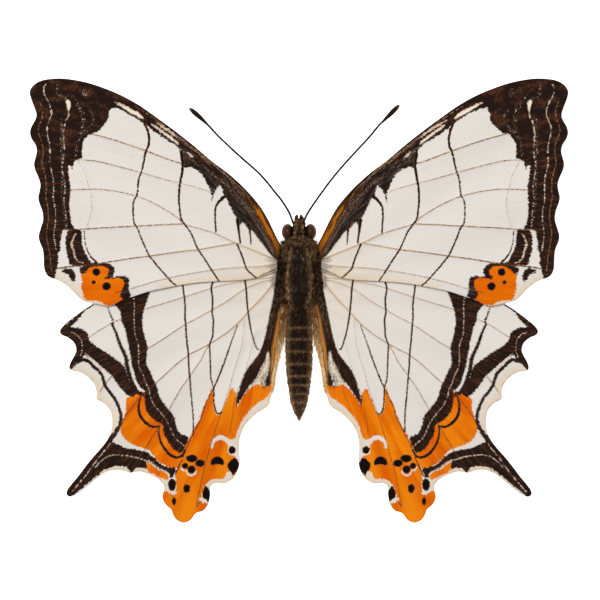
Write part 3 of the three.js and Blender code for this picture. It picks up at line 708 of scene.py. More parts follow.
def new_mesh(name: str, vertices_mm: np.ndarray, faces: Sequence[Sequence[int]] | np.ndarray) -> Piece:
    """Makes a smooth-shaded mesh object at the origin.

    Args:
        name: The piece's name.
        vertices_mm: Rows of X, Y and Z in millimetres.
        faces: Vertex numbers of each face.

    Returns:
        The object.
    """
    mesh = bpy.data.meshes.new(name)
    mesh.from_pydata(vertices_mm * MM, [], faces.tolist() if isinstance(faces, np.ndarray) else faces)
    mesh.polygons.foreach_set("use_smooth", np.ones(len(mesh.polygons), bool))
    mesh.update()
    piece = bpy.data.objects.new(name, mesh)
    bpy.context.scene.collection.objects.link(piece)
    return piece


def set_attribute(piece: Piece, name: str, values: np.ndarray) -> None:
    """Stores a number or a vector at every vertex.

    Args:
        piece: The mesh object.
        name: The attribute's name.
        values: One number for each vertex, or one row of three.
    """
    vector = values.ndim == 2
    kind = "FLOAT_VECTOR" if vector else "FLOAT"
    attribute = piece.data.attributes.new(name, kind, "POINT")
    attribute.data.foreach_set("vector" if vector else "value", values.astype(np.float32).ravel())


class Expression:
    """A shader socket that takes part in sums, and adds Math nodes for them."""

    def __init__(self, finish: "NodeFinish", socket: Any) -> None:
        """Wraps a socket.

        Args:
            finish: The material that holds the nodes.
            socket: The output socket.
        """
        self.finish = finish
        self.socket = socket

    def _math(self, operation: str, *values: Any) -> "Expression":
        """Adds a Math node on the values."""
        return self.finish.node("ShaderNodeMath", {"operation": operation}, dict(enumerate(values)))

    def __add__(self, other: Any) -> "Expression":
        """Sum."""
        return self._math("ADD", self, other)

    def __sub__(self, other: Any) -> "Expression":
        """Difference."""
        return self._math("SUBTRACT", self, other)

    def __rsub__(self, other: Any) -> "Expression":
        """Difference from a number."""
        return self._math("SUBTRACT", other, self)

    def __mul__(self, other: Any) -> "Expression":
        """Product."""
        return self._math("MULTIPLY", self, other)

    __radd__ = __add__
    __rmul__ = __mul__

    def atleast(self, other: Any) -> "Expression":
        """The greater of this and another value."""
        return self._math("MAXIMUM", self, other)

    def step(self, low: float, high: float) -> "Expression":
        """A smooth step from 0 at low to 1 at high."""
        inputs = {"Value": self, "From Min": low, "From Max": high}
        return self.finish.node("ShaderNodeMapRange", {"interpolation_type": "SMOOTHSTEP"}, inputs)

    def squeeze(self) -> "Expression":
        """The value kept between 0 and 1."""
        return self.finish.node("ShaderNodeClamp", {}, {"Value": self})


Colour = tuple[float, float, float]


class NodeFinish:
    """A material built of nodes around one Principled shader."""

    def __init__(self, name: str) -> None:
        """Makes an empty node material.

        Args:
            name: The material's name.
        """
        self.material = bpy.data.materials.new(name)
        self.material.use_nodes = True
        self.tree = self.material.node_tree
        self.tree.nodes.clear()

    def node(
        self, kind: str, settings: dict[str, Any], inputs: dict[Any, Any], output: Any = 0
    ) -> Expression:
        """Adds a node: settings first, then the values or links of its sockets.

        Args:
            kind: The node's type.
            settings: Values for the node's own properties.
            inputs: Values or expressions for its sockets, by name or number.
            output: The socket to return, by name or number.

        Returns:
            The chosen output.
        """
        node = self.tree.nodes.new(kind)
        for key, value in settings.items():
            setattr(node, key, value)
        for key, value in inputs.items():
            if isinstance(value, Expression):
                self.tree.links.new(value.socket, node.inputs[key])
            else:
                node.inputs[key].default_value = value
        return Expression(self, node.outputs[output])

    def number(self, attribute: str) -> Expression:
        """Reads a number stored at the vertices."""
        return self.node("ShaderNodeAttribute", {"attribute_name": attribute}, {}, "Fac")

    def vector(self, attribute: str) -> Expression:
        """Reads a vector stored at the vertices."""
        return self.node("ShaderNodeAttribute", {"attribute_name": attribute}, {}, "Vector")

    def place(self) -> Expression:
        """The Object coordinates, in metres."""
        return self.node("ShaderNodeTexCoord", {}, {}, "Object")

    def stretched(self, vector: Expression, factors: tuple[float, float, float]) -> Expression:
        """A vector with each of its parts multiplied."""
        return self.node("ShaderNodeVectorMath", {"operation": "MULTIPLY"}, {0: vector, 1: factors})

    def noise(self, vector: Expression, scale: float, detail: float = 2.0) -> Expression:
        """Noise between about 0 and 1."""
        inputs = {"Vector": vector, "Scale": scale, "Detail": detail}
        return self.node("ShaderNodeTexNoise", {}, inputs, "Fac")

    def mix(self, factor: Any, first: Any, second: Any) -> Expression:
        """A colour between two."""
        inputs = {"Factor": factor, 6: self._colour(first), 7: self._colour(second)}
        return self.node("ShaderNodeMix", {"data_type": "RGBA"}, inputs, 2)

    def shaded(self, colour: Any, amount: Any) -> Expression:
        """A colour made lighter or darker by a factor."""
        inputs = {0: self._colour(colour)[:3] if isinstance(colour, tuple) else colour, "Scale": amount}
        return self.node("ShaderNodeVectorMath", {"operation": "SCALE"}, inputs)

    def bump(self, height: Expression, distance_mm: float) -> Expression:
        """Normals of a relief whose full height is the distance given."""
        return self.node("ShaderNodeBump", {}, {"Height": height, "Distance": distance_mm * MM})

    def surface(self, values: dict[str, Any]) -> Material:
        """Adds the Principled shader and the output.

        Args:
            values: Values or expressions for the shader's sockets.

        Returns:
            The finished material.
        """
        shader = self.node("ShaderNodeBsdfPrincipled", {}, values)
        output = self.tree.nodes.new("ShaderNodeOutputMaterial")
        self.tree.links.new(shader.socket, output.inputs["Surface"])
        return self.material

    @staticmethod
    def _colour(value: Any) -> Any:
        """A colour as a socket takes it."""
        return value if isinstance(value, Expression) else (*value, 1.0)


AMBIENT = 0.42
KEY = 0.75
"""What the even light and the lamp each add to a white surface that faces up."""


def srgb(red: float, green: float, blue: float) -> Colour:
    """The reflectance that shows as a given screen colour under this scene's light.

    Args:
        red: Red, 0 to 255.
        green: Green, 0 to 255.
        blue: Blue, 0 to 255.

    Returns:
        Linear red, green and blue.
    """
    screen = np.array([red, green, blue]) / 255
    linear = np.where(screen <= 0.04045, screen / 12.92, ((screen + 0.055) / 1.055) ** 2.4)
    return tuple(float(v) for v in linear / (AMBIENT + KEY))


@dataclass(frozen=True)
class ScaledWing:
    """The powdery scales of a wing's two faces, coloured by the pattern's layers."""

    name: str
    warm_from: float = 0.0
    amber_streaks: float = 1.4
    amber_near: float = 3.6
    amber_far: float = 0.0
    white: Colour = srgb(226, 220, 213)
    cream: Colour = srgb(226, 208, 184)
    # Grey of the faint streaks on the pale ground: painted shade of shallow folds between the veins.
    grey: Colour = srgb(208, 201, 194)
    orange: Colour = srgb(241, 136, 17)
    deep_orange: Colour = srgb(216, 92, 5)
    tan_vein: Colour = srgb(196, 156, 108)
    orange_vein: Colour = srgb(166, 72, 14)
    vein_speck: Colour = srgb(96, 62, 36)
    dark: Colour = srgb(38, 26, 22)
    russet: Colour = srgb(88, 54, 37)
    frost: Colour = srgb(92, 82, 78)
    line: Colour = srgb(44, 28, 20)
    line_wear: Colour = srgb(128, 88, 56)
    black: Colour = srgb(24, 17, 15)
    copper: Colour = srgb(158, 112, 80)
    speckle: Colour = srgb(140, 104, 78)
    bright_speckle: Colour = srgb(224, 208, 192)
    thread: Colour = srgb(214, 188, 164)
    window: Colour = srgb(238, 226, 206)
    amber: Colour = srgb(188, 108, 20)
    amber_rim: Colour = srgb(72, 42, 20)
    tan: Colour = srgb(229, 209, 180)
    tan_shade: Colour = srgb(150, 110, 72)
    # Colour of the smudges and of the painted shade under the fold hair.
    smudge: Colour = srgb(66, 48, 38)

    def material(self) -> Material:
        """Lays the layers over each other: ground, tan, orange, veins, smudges and painted shade, dark, lines,
        then fine marks.

        Returns:
            The material.
        """
        finish = NodeFinish(self.name)
        grain = finish.vector("grain")

        def grained(outward: float, across: float, detail: float = 2.0) -> Expression:
            """Noise drawn out along the grain, by how often it changes outward from the root and across."""
            return finish.noise(finish.stretched(grain, (outward, across, 1.0)), 1.0, detail)

        teeth = (grained(2.6, 9.0) - 0.5) * 2.0
        flecks = grained(3.0, 9.0, 3.0)
        fine = grained(6.0, 13.0)
        scales = grained(9.0, 18.0, 3.0)
        streaks = grained(0.6, 5.0, 3.0)
        bands = grained(0.12, 1.1)
        reach = finish.node("ShaderNodeSeparateXYZ", {}, {0: grain})

        def depth(layer: Layer) -> Expression:
            """The layer's signed distance."""
            return finish.number(layer.value)

        def cover(layer: Layer, jag: float, soft: float) -> Expression:
            """How far a layer covers what is under it, with an edge broken by the grain of the scales."""
            return (depth(layer) + teeth * jag).step(-soft, soft)

        near_tan = depth(Layer.TAN).step(-1.1, -0.1)
        warmth = (near_tan * 0.7 + reach.step(9.0, 1.0) * 0.4 + bands * 0.1).squeeze()
        colour = finish.mix(warmth, self.white, self.cream)
        # Faint grey streaks along the grain: painted shade, standing in for the soft shadows of shallow folds
        # between the veins.
        colour = finish.mix(streaks.step(0.52, 0.78) * 0.3, colour, self.grey)
        rim = (depth(Layer.TAN) + teeth * 0.12).step(-0.2, 0.16) * 0.8
        colour = finish.mix(rim, colour, finish.mix(flecks.step(0.56, 0.7), self.tan, self.tan_shade))
        orange = cover(Layer.ORANGE, 0.3, 0.05) * (1.0 - cover(Layer.GROUND, 0.2, 0.05))
        glow = (bands * 0.6 + streaks * 0.12 + fine * 0.28).step(0.35, 0.65)
        colour = finish.mix(orange, colour, finish.mix(glow, self.orange, self.deep_orange))
        specks = flecks.step(0.4, 0.56) * (reach.step(2.0, 16.0) * 0.75 + 0.15)
        vein = finish.mix(specks, finish.mix(orange, self.tan_vein, self.orange_vein), self.vein_speck)
        veins = cover(Layer.VEIN, 0.06, 0.05)
        colour = finish.mix(veins * 0.9, colour, vein)
        # Real dark smudges, and under the fold hair painted shade.
        smudge = cover(Layer.SMUDGE, 0.5, 0.2) * flecks.step(0.36, 0.6) * 0.9
        colour = finish.mix(smudge, colour, self.smudge)
        warm = reach.step(self.warm_from - 2.0, self.warm_from + 2.0)
        gleam = finish.mix(warm, self.frost, self.russet)
        patch = finish.mix(streaks.step(0.44, 0.7) * fine.step(0.36, 0.62), self.dark, gleam)
        patch = finish.mix(veins * 0.4, patch, self.vein_speck)
        colour = finish.mix(cover(Layer.DARK, 0.26, 0.07), colour, patch)
        edge = depth(Layer.LINE).step(0.06, -0.03)
        thin = finish.mix((flecks.step(0.52, 0.68) * 0.7).atleast(edge), self.line, self.line_wear)
        thin = finish.mix(depth(Layer.LINE).step(0.08, 0.15), thin, self.black)
        colour = finish.mix(cover(Layer.LINE, 0.15, 0.04), colour, thin)
        dust = cover(Layer.COPPER, 0.12, 0.05) * fine.step(0.4, 0.54) * 0.85
        colour = finish.mix(dust, colour, self.copper)
        speckle = finish.mix(flecks.step(0.46, 0.62), self.speckle, self.bright_speckle)
        colour = finish.mix(cover(Layer.MOTTLE, 0.24, 0.12) * scales.step(0.54, 0.64), colour, speckle)
        solid = depth(Layer.PALE).step(0.06, 0.11)
        pale = cover(Layer.PALE, 0.22, 0.05) * (fine.step(0.34, 0.5) * 0.7 + 0.3).atleast(solid)
        colour = finish.mix(pale, colour, finish.mix(solid, self.thread, self.window))
        core = (depth(Layer.AMBER) + (streaks - 0.5) * self.amber_streaks).step(0.02, 0.34)
        core = core * reach.step(0.0, self.amber_near) * reach.step(11.0, 7.5).atleast(self.amber_far)
        stripe = finish.mix(core, self.amber_rim, self.amber)
        stripe = finish.mix(flecks.step(0.54, 0.66) * self.amber_streaks * 0.5, stripe, self.dark)
        colour = finish.mix(cover(Layer.AMBER, 0.16, 0.06), colour, stripe)
        colour = finish.mix(finish.number("side") * 0.4, colour, self.white)
        colour = finish.shaded(colour, scales * 0.3 + fine * 0.14 + 0.78)
        relief = finish.bump(scales + streaks, 0.012)
        return finish.surface(
            {"Base Color": colour, "Normal": relief, "Roughness": 0.9, "Specular IOR Level": 0.0}
        )


@dataclass(frozen=True)
class Hair:
    """Fine hair between a dark and a light colour, by each hair's tone and shade."""

    name: str = "hair"
    dark: Colour = srgb(40, 28, 21)
    light: Colour = srgb(176, 138, 98)
    contrast: float = 2.5

    def material(self) -> Material:
        """Mixes the two colours by tone and makes each hair lighter or darker by its shade."""
        finish = NodeFinish(self.name)
        colour = finish.mix(finish.number("tone"), self.dark, self.light)
        shade = finish.number("shade")
        # Shade: partly the hairs' own mixed colour, partly painted highlight and painted shade between the
        # tufts.
        colour = finish.shaded(colour, shade * shade * self.contrast + (1.0 - self.contrast * 0.28))
        return finish.surface({"Base Color": colour, "Roughness": 0.7, "Specular IOR Level": 0.0})


@dataclass(frozen=True)
class Cuticle:
    """Dry skin or horn: two colours by tone, a fine grain and a low gloss."""

    name: str
    dark: Colour = srgb(34, 24, 20)
    light: Colour = srgb(132, 104, 74)
    roughness: float = 0.5
    relief: float = 0.02
    gloss: float = 0.0

    def material(self) -> Material:
        """Mixes the two colours by tone, with a grain in colour and relief."""
        finish = NodeFinish(self.name)
        grain = finish.noise(finish.place(), 9000.0, 3.0)
        colour = finish.mix(finish.number("tone"), self.dark, self.light)
        colour = finish.shaded(colour, grain * 0.8 + 0.6)
        relief = finish.bump(grain, self.relief)
        return finish.surface({
            "Base Color": colour, "Normal": relief, "Roughness": self.roughness,
            "Specular IOR Level": self.gloss,
        })


@dataclass(frozen=True)
class FacetedEye:
    """The glossy red-brown of a compound eye, darker where it meets the head, with fine facets."""

    name: str = "compound_eye"
    brown: Colour = srgb(62, 34, 20)
    rim: Colour = srgb(16, 11, 10)

    def material(self) -> Material:
        """Mixes rim and middle by tone, and raises each facet."""
        finish = NodeFinish(self.name)
        facets = finish.node("ShaderNodeTexVoronoi", {}, {"Vector": finish.place(), "Scale": 26000.0})
        colour = finish.mix(finish.number("tone"), self.rim, self.brown)
        relief = finish.bump(1.0 - facets, 0.008)
        return finish.surface(
            {"Base Color": colour, "Normal": relief, "Roughness": 0.35, "Specular IOR Level": 0.1,
             "Coat Weight": 0.03, "Coat Roughness": 0.15}
        )


@dataclass(frozen=True)
class Finishes:
    """The finishes of everything but the wings."""

    horn: Material
    skin: Material
    hair: Material
    # Grey hair whose pale colour is a painted sheen.
    sheen: Material
    pale: Material
    eye: Material


def fasten(piece: Piece, slot: str, material: Material, *nodes: str) -> Piece:
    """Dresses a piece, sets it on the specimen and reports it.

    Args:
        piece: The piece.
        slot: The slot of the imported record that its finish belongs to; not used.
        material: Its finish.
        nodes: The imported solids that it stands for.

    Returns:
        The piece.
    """
    piece.data.materials.append(material)
    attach(piece, BODY)
    if nodes:
        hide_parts(*nodes)
    log.info("%s: %d faces", piece.name, len(piece.data.polygons))
    return piece


def trimmed_grid(outline: np.ndarray, cell: float) -> tuple[np.ndarray, np.ndarray, np.ndarray, np.ndarray]:
    """Fills an outline with square cells, the outermost grid points moved to the outline itself.

    Args:
        outline: Rows of X and Y round the outline.
        cell: Side of a cell, in millimetres.

    Returns:
        The points, their depth inside the outline, the cells' corners and the edges on the rim.
    """
    low, high = outline.min(0) - cell, outline.max(0) + cell
    counts = ((high - low) / cell).astype(int) + 2
    across, along = (low[axis] + cell * np.arange(counts[axis]) for axis in (0, 1))
    shape = len(across), len(along)
    points = np.stack(np.meshgrid(across, along, indexing="ij"), -1).reshape(-1, 2)
    distance, _, edge = nearest_on_path(points, np.vstack([outline, outline[:1]]))
    depth = np.where(inside_outline(points, outline), distance, -distance)
    kept = (depth > -0.5 * cell).reshape(shape)
    number = np.arange(len(points)).reshape(shape)
    corners = [slice(None, -1), slice(1, None)]
    order = [(corners[a], corners[b]) for a, b in ((0, 0), (1, 0), (1, 1), (0, 1))]
    full = np.logical_and.reduce([kept[place] for place in order])
    cells = np.stack([number[place][full] for place in order], -1)
    sides = np.stack([cells, np.roll(cells, -1, 1)], -1).reshape(-1, 2)
    codes = sides[:, 0] * len(points) + sides[:, 1]
    rim = sides[~np.isin(codes, sides[:, 1] * len(points) + sides[:, 0])]
    points[rim.ravel()] = edge[rim.ravel()]
    depth[rim.ravel()] = 0
    used, renumbered = np.unique(cells, return_inverse=True)
    lookup = np.zeros(len(points), int)
    lookup[used] = np.arange(len(used))
    return points[used], depth[used], renumbered.reshape(cells.shape), lookup[rim]


@dataclass
class WingPair:
    """A left and a right wing: two faces with veins and shallow pleats, joined by a thin rim."""

    name: str
    outline: Points
    marks: Marks
    surface: WingSurface
    root_px: tuple[float, float]
    costa_rise: float = 0.0
    costa_points: int = 15
    cell: float = 0.115
    middle: float = 0.09
    rim: float = 0.03
    rim_width: float = 0.35
    vein_relief: float = 0.05
    vein_half: float = 0.12
    under_share: float = 0.7
    """How much of a vein's relief shows on the lower face."""
    pleat: float = 0.07
    pleat_half: float = 0.8
    costa_width: float = 0.7
    bend: float = 1000.0
    grain_width: float = 15.0
    side_shift: float = 40.0
    face_shift: float = 9.0
    """Shifts of the grain, so that the noise differs between the two wings and between the two faces."""
    points: np.ndarray = field(init=False)
    depth: np.ndarray = field(init=False)
    cells: np.ndarray = field(init=False)
    edges: np.ndarray = field(init=False)
    layers: dict[Layer, np.ndarray] = field(init=False)

    def __post_init__(self) -> None:
        """Works out the left wing's grid and pattern, which both wings share."""
        outline = smooth_path(VIEW.place(self.outline), True, 3)
        self.points, self.depth, self.cells, self.edges = trimmed_grid(outline, self.cell)
        self.layers = pattern(self.points, self.marks)

    def reach(self) -> np.ndarray:
        """Each point's way from the root, outward and forward, in millimetres."""
        away = self.points - VIEW.place([self.root_px])
        return away * (-1, 1)

    def grain(self) -> np.ndarray:
        """Each point's distance from the root, and its turn about it on lines that bend towards level.

        The lines rise from the root by their slope times bend (1 - exp(-out / bend)).
        """
        out, ahead = self.reach().T
        spread = self.bend * (1 - np.exp(-np.maximum(out, 0) / self.bend)) + np.minimum(out, 0)
        return np.column_stack([np.hypot(out, ahead), np.arctan2(ahead, spread) * self.grain_width])

    def faces(self) -> tuple[np.ndarray, np.ndarray]:
        """Works out the heights of the upper and lower face.

        The middle surface sinks a little between the veins. The wing thins to its rim. Each vein stands out
        on both faces as a rounded ridge that is higher near the root. The leading edge is raised.

        Returns:
            The heights of the upper and of the lower face.
        """
        to_vein = np.maximum(0, -self.layers[Layer.VEIN])
        near_root = np.exp(-np.linalg.norm(self.reach(), axis=1) / 5)
        middle = self.surface.height(*self.points.T)
        middle = middle - self.pleat * (1 - np.exp(-((to_vein / self.pleat_half) ** 2)))
        half = (self.rim + (self.middle - self.rim) * (1 - np.exp(-self.depth / self.rim_width))) / 2
        inward = np.clip(self.depth / 0.25, 0, 1)
        ridge = self.vein_relief * np.exp(-((to_vein / self.vein_half) ** 2)) * (1 + 1.5 * near_root) * inward
        costa = nearest_on_path(self.points, VIEW.place(self.outline[: self.costa_points]))[0]
        raised = self.costa_rise * np.exp(-costa / self.costa_width) * (1 - np.exp(-self.depth / 0.1))
        return middle + half + ridge + raised, middle - half - self.under_share * ridge

    def build(self, side: Side, material: Material) -> Piece:
        """Makes one wing.

        Args:
            side: The side that it is on.
            material: Its finish.

        Returns:
            The wing.
        """
        upper, lower = self.faces()
        count = len(self.points)
        flat = np.vstack([self.points, self.points])
        vertices = np.column_stack([flat, np.concatenate([upper, lower])])
        faces = np.vstack([
            self.cells,
            self.cells[:, ::-1] + count,
            np.column_stack([self.edges[:, ::-1], self.edges + count]),
        ])
        if side is Side.RIGHT:
            vertices[:, 0] *= -1
            faces = faces[:, ::-1]
        wing = new_mesh(f"{self.name}_{side.label}_scaled", vertices, faces)
        smooth = np.ones(len(faces), bool)
        smooth[2 * len(self.cells):] = False
        wing.data.polygons.foreach_set("use_smooth", smooth)
        for layer, depth in self.layers.items():
            set_attribute(wing, layer.value, np.tile(depth, 2))
        grain = np.column_stack([self.grain(), np.full(count, self.side_shift * side.value)])
        set_attribute(wing, "grain", np.vstack([grain, grain + (0, 0, self.face_shift)]))
        set_attribute(wing, "side", np.repeat([0.0, 1.0], count))
        return fasten(wing, self.name, material, f"{self.name}_{side.label}")


class RoundForm:
    """A closed form whose surface is given by the share of its length and the turn about its axis."""

    def surface(self, along: np.ndarray, turn: np.ndarray) -> np.ndarray:
        """Rows of X, Y and Z, in millimetres; the turn runs from +X over the top when it is left to right."""
        raise NotImplementedError

    def tone(self, points: np.ndarray) -> np.ndarray:
        """How light the form is at each point, from 0 to 1."""
        return np.zeros(len(points))

    def skin(
        self, name: str, steps: int, sides: int, tones: Callable[[np.ndarray], np.ndarray] | None = None
    ) -> Piece:
        """Makes the form's mesh: a point at each end and rings between them.

        Args:
            name: The piece's name.
            steps: Rings along the form.
            sides: Points round a ring.
            tones: The tone at shares of the length, where the form's own tone isn't wanted.

        Returns:
            The piece, with its tone stored at the vertices.
        """
        along = np.linspace(0, 1, steps + 2)
        turns = np.linspace(0, 2 * np.pi, sides, endpoint=False)
        rings = self.surface(np.repeat(along[1:-1], sides), np.tile(turns, steps))
        ends = self.surface(along[[0, -1]], np.zeros(2))
        vertices = np.vstack([rings, ends])
        piece = new_mesh(name, vertices, ring_faces(steps, sides))
        if tones is None:
            tone = self.tone(vertices)
        else:
            tone = np.concatenate([np.repeat(tones(along[1:-1]), sides), tones(along[[0, -1]])])
        set_attribute(piece, "tone", tone)
        return piece

    def roots(
        self, rng: Random, count: int, span: tuple[float, float] = (0.01, 0.99)
    ) -> tuple[np.ndarray, np.ndarray]:
        """Picks places for hairs, spread by chance over the length and the turn.

        Args:
            rng: The source of chance.
            count: How many.
            span: The shares of the length between which they lie.

        Returns:
            The places and the directions that point straight out of the surface there.
        """
        along = rng.uniform(*span, count)
        turn = rng.uniform(0, 2 * np.pi, count)
        step = 1e-3
        here = self.surface(along, turn)
        round_it = self.surface(along, turn + step) - here
        down_it = self.surface(along + step, turn) - here
        return here, unit_rows(np.cross(round_it, down_it))


def ring_faces(rings: int, sides: int) -> list[list[int]]:
    """Faces of a form of rings, followed by its first and its last point.

    Args:
        rings: Number of rings.
        sides: Points on each ring.

    Returns:
        The faces, turned outward where the turn goes with the right hand along the rings.
    """
    number = np.arange(rings * sides).reshape(rings, sides)
    after = np.roll(number, -1, 1)
    walls = np.stack([number[:-1], after[:-1], after[1:], number[1:]], -1).reshape(-1, 4)
    first, last = rings * sides, rings * sides + 1
    start = np.column_stack([np.full(sides, first), after[0], number[0]])
    end = np.column_stack([np.full(sides, last), number[-1], after[-1]])
    return walls.tolist() + start.tolist() + end.tolist()


def unit_rows(rows: np.ndarray) -> np.ndarray:
    """Rows made one long."""
    return rows / np.maximum(np.linalg.norm(rows, axis=1, keepdims=True), 1e-12)


def along_skin(out: np.ndarray, flow: np.ndarray) -> np.ndarray:
    """The part of a direction that lies along the skin at each place, made one long."""
    return unit_rows(flow - out * (out * flow).sum(1, keepdims=True))


HAIR_POINTS = 7
HAIR_FACES = np.array([
    (0, 2, 1), (0, 1, 4), (0, 4, 3), (1, 2, 5), (1, 5, 4), (2, 0, 3), (2, 3, 5), (3, 4, 6), (4, 5, 6),
    (5, 3, 6),
])
"""A hair's faces, on three points at its root, three at its bend and one at its tip."""


@dataclass(frozen=True)
class Coat:
    """A coat of hairs in tufts: how many are planted, how long, how thick and how flat they lie."""

    count: int
    length: float
    lean: float = 0.75
    radius: float = 0.024
    spread: float = 0.28
    sink: float = 0.02
    shortest: float = 0.45
    tuft: int = 8
    gather: float = 0.45

    def tufts(self, rng: Random, roots: np.ndarray) -> np.ndarray:
        """Gives each hair the number of its tuft's leader, the nearest of a few hairs chosen by chance."""
        leaders = rng.choice(len(roots), max(len(roots) // self.tuft, 1), replace=False)
        ends = roots[leaders]
        nearest = np.empty(len(roots), int)
        for rows in batches(len(roots)):
            nearest[rows] = ((ends**2).sum(1) - 2 * roots[rows] @ ends.T).argmin(1)
        return leaders[nearest]

    def grow(
        self, name: str, rng: Random, roots: np.ndarray, out: np.ndarray, flow: np.ndarray,
        tone: np.ndarray,
    ) -> Piece:
        """Makes the hairs as one mesh: each has three sides, a bend half way and a point drawn to its tuft's.

        Args:
            name: The piece's name.
            rng: The source of chance.
            roots: Where the hairs start.
            out: Directions straight out of the skin there.
            flow: The direction that each hair lies in.
            tone: How light each hair is.

        Returns:
            The piece, with tone and shade stored at the vertices.
        """
        count = len(roots)
        lead = self.tufts(rng, roots)
        own = rng.normal(0, self.spread, (count, 3))
        jitter = own * 0.5 + own[lead] * 0.8
        first = unit_rows(out * (1 - self.lean) + flow * self.lean + jitter)
        second = unit_rows(first + flow * 0.5 + own * 0.3 - (0, 0, 0.1))
        length = (self.length * rng.uniform(self.shortest, 1.0, count))[:, None]
        base = roots - out * self.sink
        bend = base + first * length * 0.5
        tip = bend + second * length * 0.5
        tip += (tip[lead] - tip) * self.gather
        side_a = unit_rows(np.cross(first, rng.normal(0, 1, (count, 3))))
        side_b = np.cross(first, side_a)
        turns = np.arange(3) * 2 * np.pi / 3
        ring = side_a[:, None] * np.cos(turns)[None, :, None] + side_b[:, None] * np.sin(turns)[None, :, None]
        vertices = np.concatenate(
            [base[:, None] + ring * self.radius, bend[:, None] + ring * self.radius * 0.8, tip[:, None]], 1
        )
        vertices[..., 2] = np.maximum(vertices[..., 2], 0.01)
        faces = (np.arange(count)[:, None, None] * HAIR_POINTS + HAIR_FACES).reshape(-1, 3)
        hairs = new_mesh(name, vertices.reshape(-1, 3), faces)
        # Shade per hair and tuft: partly the hair's own colour, partly painted highlight and shade.
        shade = rng.uniform(0, 1, count)
        for key, values in (("tone", tone), ("shade", shade)):
            shared = np.clip(values * 0.4 + values[lead] * 0.6, 0, 1)
            set_attribute(hairs, key, np.repeat(shared, HAIR_POINTS))
        return hairs


@dataclass
class Thorax(RoundForm):
    """The thorax: a barrel with rounded ends, a groove and a small shield at its back, striped and furred."""

    front_px: float = 239
    back_px: float = 311
    half_width: float = 1.6
    half_height: float = 2.5
    z: float = 2.25
    barrel: float = 2.6
    groove: float = 0.08
    shield_px: float = 300.7
    bare_px: tuple[float, float] = (298.0, 8.5)
    """The middle row of the thinly haired shield, and half its length."""
    bare_half: float = 0.75
    parting_half: float = 0.13
    parting_px: float = 247
    middle_half: float = 0.85
    top_z: float = 3
    close_in_px: float = 292
    front_light_px: float = 254
    coat: Coat = Coat(17000, 0.66, lean=0.8)
    sheen_coat: Coat = Coat(900, 0.4, lean=0.9, radius=0.02, spread=0.15)

    def surface(self, along: np.ndarray, turn: np.ndarray) -> np.ndarray:
        """A ball with fuller rings, nearer to a barrel, with the groove and the shield on top."""
        power = 2 / self.barrel
        front, back = VIEW.along(self.front_px), VIEW.along(self.back_px)
        angle = np.pi * along
        full = np.maximum(np.sin(angle), 0) ** power
        y = (front + back) / 2 + np.sign(np.cos(angle)) * np.abs(np.cos(angle)) ** power * (front - back) / 2
        x = np.cos(turn) * full * self.half_width
        z = self.z + np.sin(turn) * full * self.half_height
        top = np.clip(np.sin(turn) * 2 - 0.6, 0, 1)
        shield = VIEW.along(self.shield_px)
        z = z - top * self.groove * np.exp(-((x / 0.1) ** 2)) * (y > shield + 0.5)
        z = z + top * 0.12 * np.exp(-(((y - shield) / 0.4) ** 2) - (x / 0.65) ** 2)
        z = z - top * 0.1 * np.exp(-(((y - shield - 0.62) / 0.14) ** 2)) * (np.abs(x) < 1.2)
        return np.column_stack([x, y, np.maximum(z, 0)])

    def tone(self, points: np.ndarray) -> np.ndarray:
        """Two light stripes that close in backward, a dark middle and dark sides."""
        x, y, z = points.T
        px = VIEW.row(y)
        middle = np.interp(px, [243, 252, 264, 278, 290, 303, 312], [0.95, 1.1, 1.3, 1.4, 1.36, 1.15, 0.75])
        stripe = np.exp(-(((np.abs(x) - middle) / 0.3) ** 2))
        return stripe * np.clip((z - 2.4) / 0.8, 0, 1)

    def build(self, rng: Random, finishes: Finishes) -> None:
        """Makes the skin and the coats of hair.

        Args:
            rng: The source of chance.
            finishes: The body's finishes.
        """
        fasten(self.skin("thorax_skin", 90, 96), "body", finishes.skin, "thorax")
        roots, out = self.roots(rng, self.coat.count)
        rows, across, on_top = VIEW.row(roots[:, 1]), np.abs(roots[:, 0]), roots[:, 2] > self.top_z
        bare = np.hypot((rows - self.bare_px[0]) / self.bare_px[1], across / self.bare_half) < 1
        bare |= (across < self.parting_half) & (rows > self.parting_px) & on_top
        middle = (across < self.middle_half) & on_top
        kept = rng.uniform(0, 1, len(roots)) < np.where(bare, 0.03, np.where(middle, 0.5, 1.0))
        roots, out, rows, middle, on_top = (values[kept] for values in (roots, out, rows, middle, on_top))
        inward = np.sign(roots[:, 0]) * np.where(rows > self.close_in_px, -0.3, 0.15) * on_top
        flow = along_skin(out, np.column_stack([inward, np.full(len(roots), -1.0), np.zeros(len(roots))]))
        tone = self.tone(roots) * 0.66 + rng.uniform(-0.05, 0.22, len(roots))
        tone += 0.1 * (rows < self.front_light_px)
        fasten(self.coat.grow("thorax_hair", rng, roots, out, flow, tone), "body", finishes.hair)
        # Grey hairs down the middle: their pale colour is a painted sheen, standing in for glints of light on
        # the hair.
        chosen = np.flatnonzero(middle)[:self.sheen_coat.count]
        tone = rng.uniform(0, 1, len(chosen)) ** 3
        grey = self.sheen_coat.grow("thorax_sheen", rng, roots[chosen], out[chosen], flow[chosen], tone)
        fasten(grey, "body", finishes.sheen)


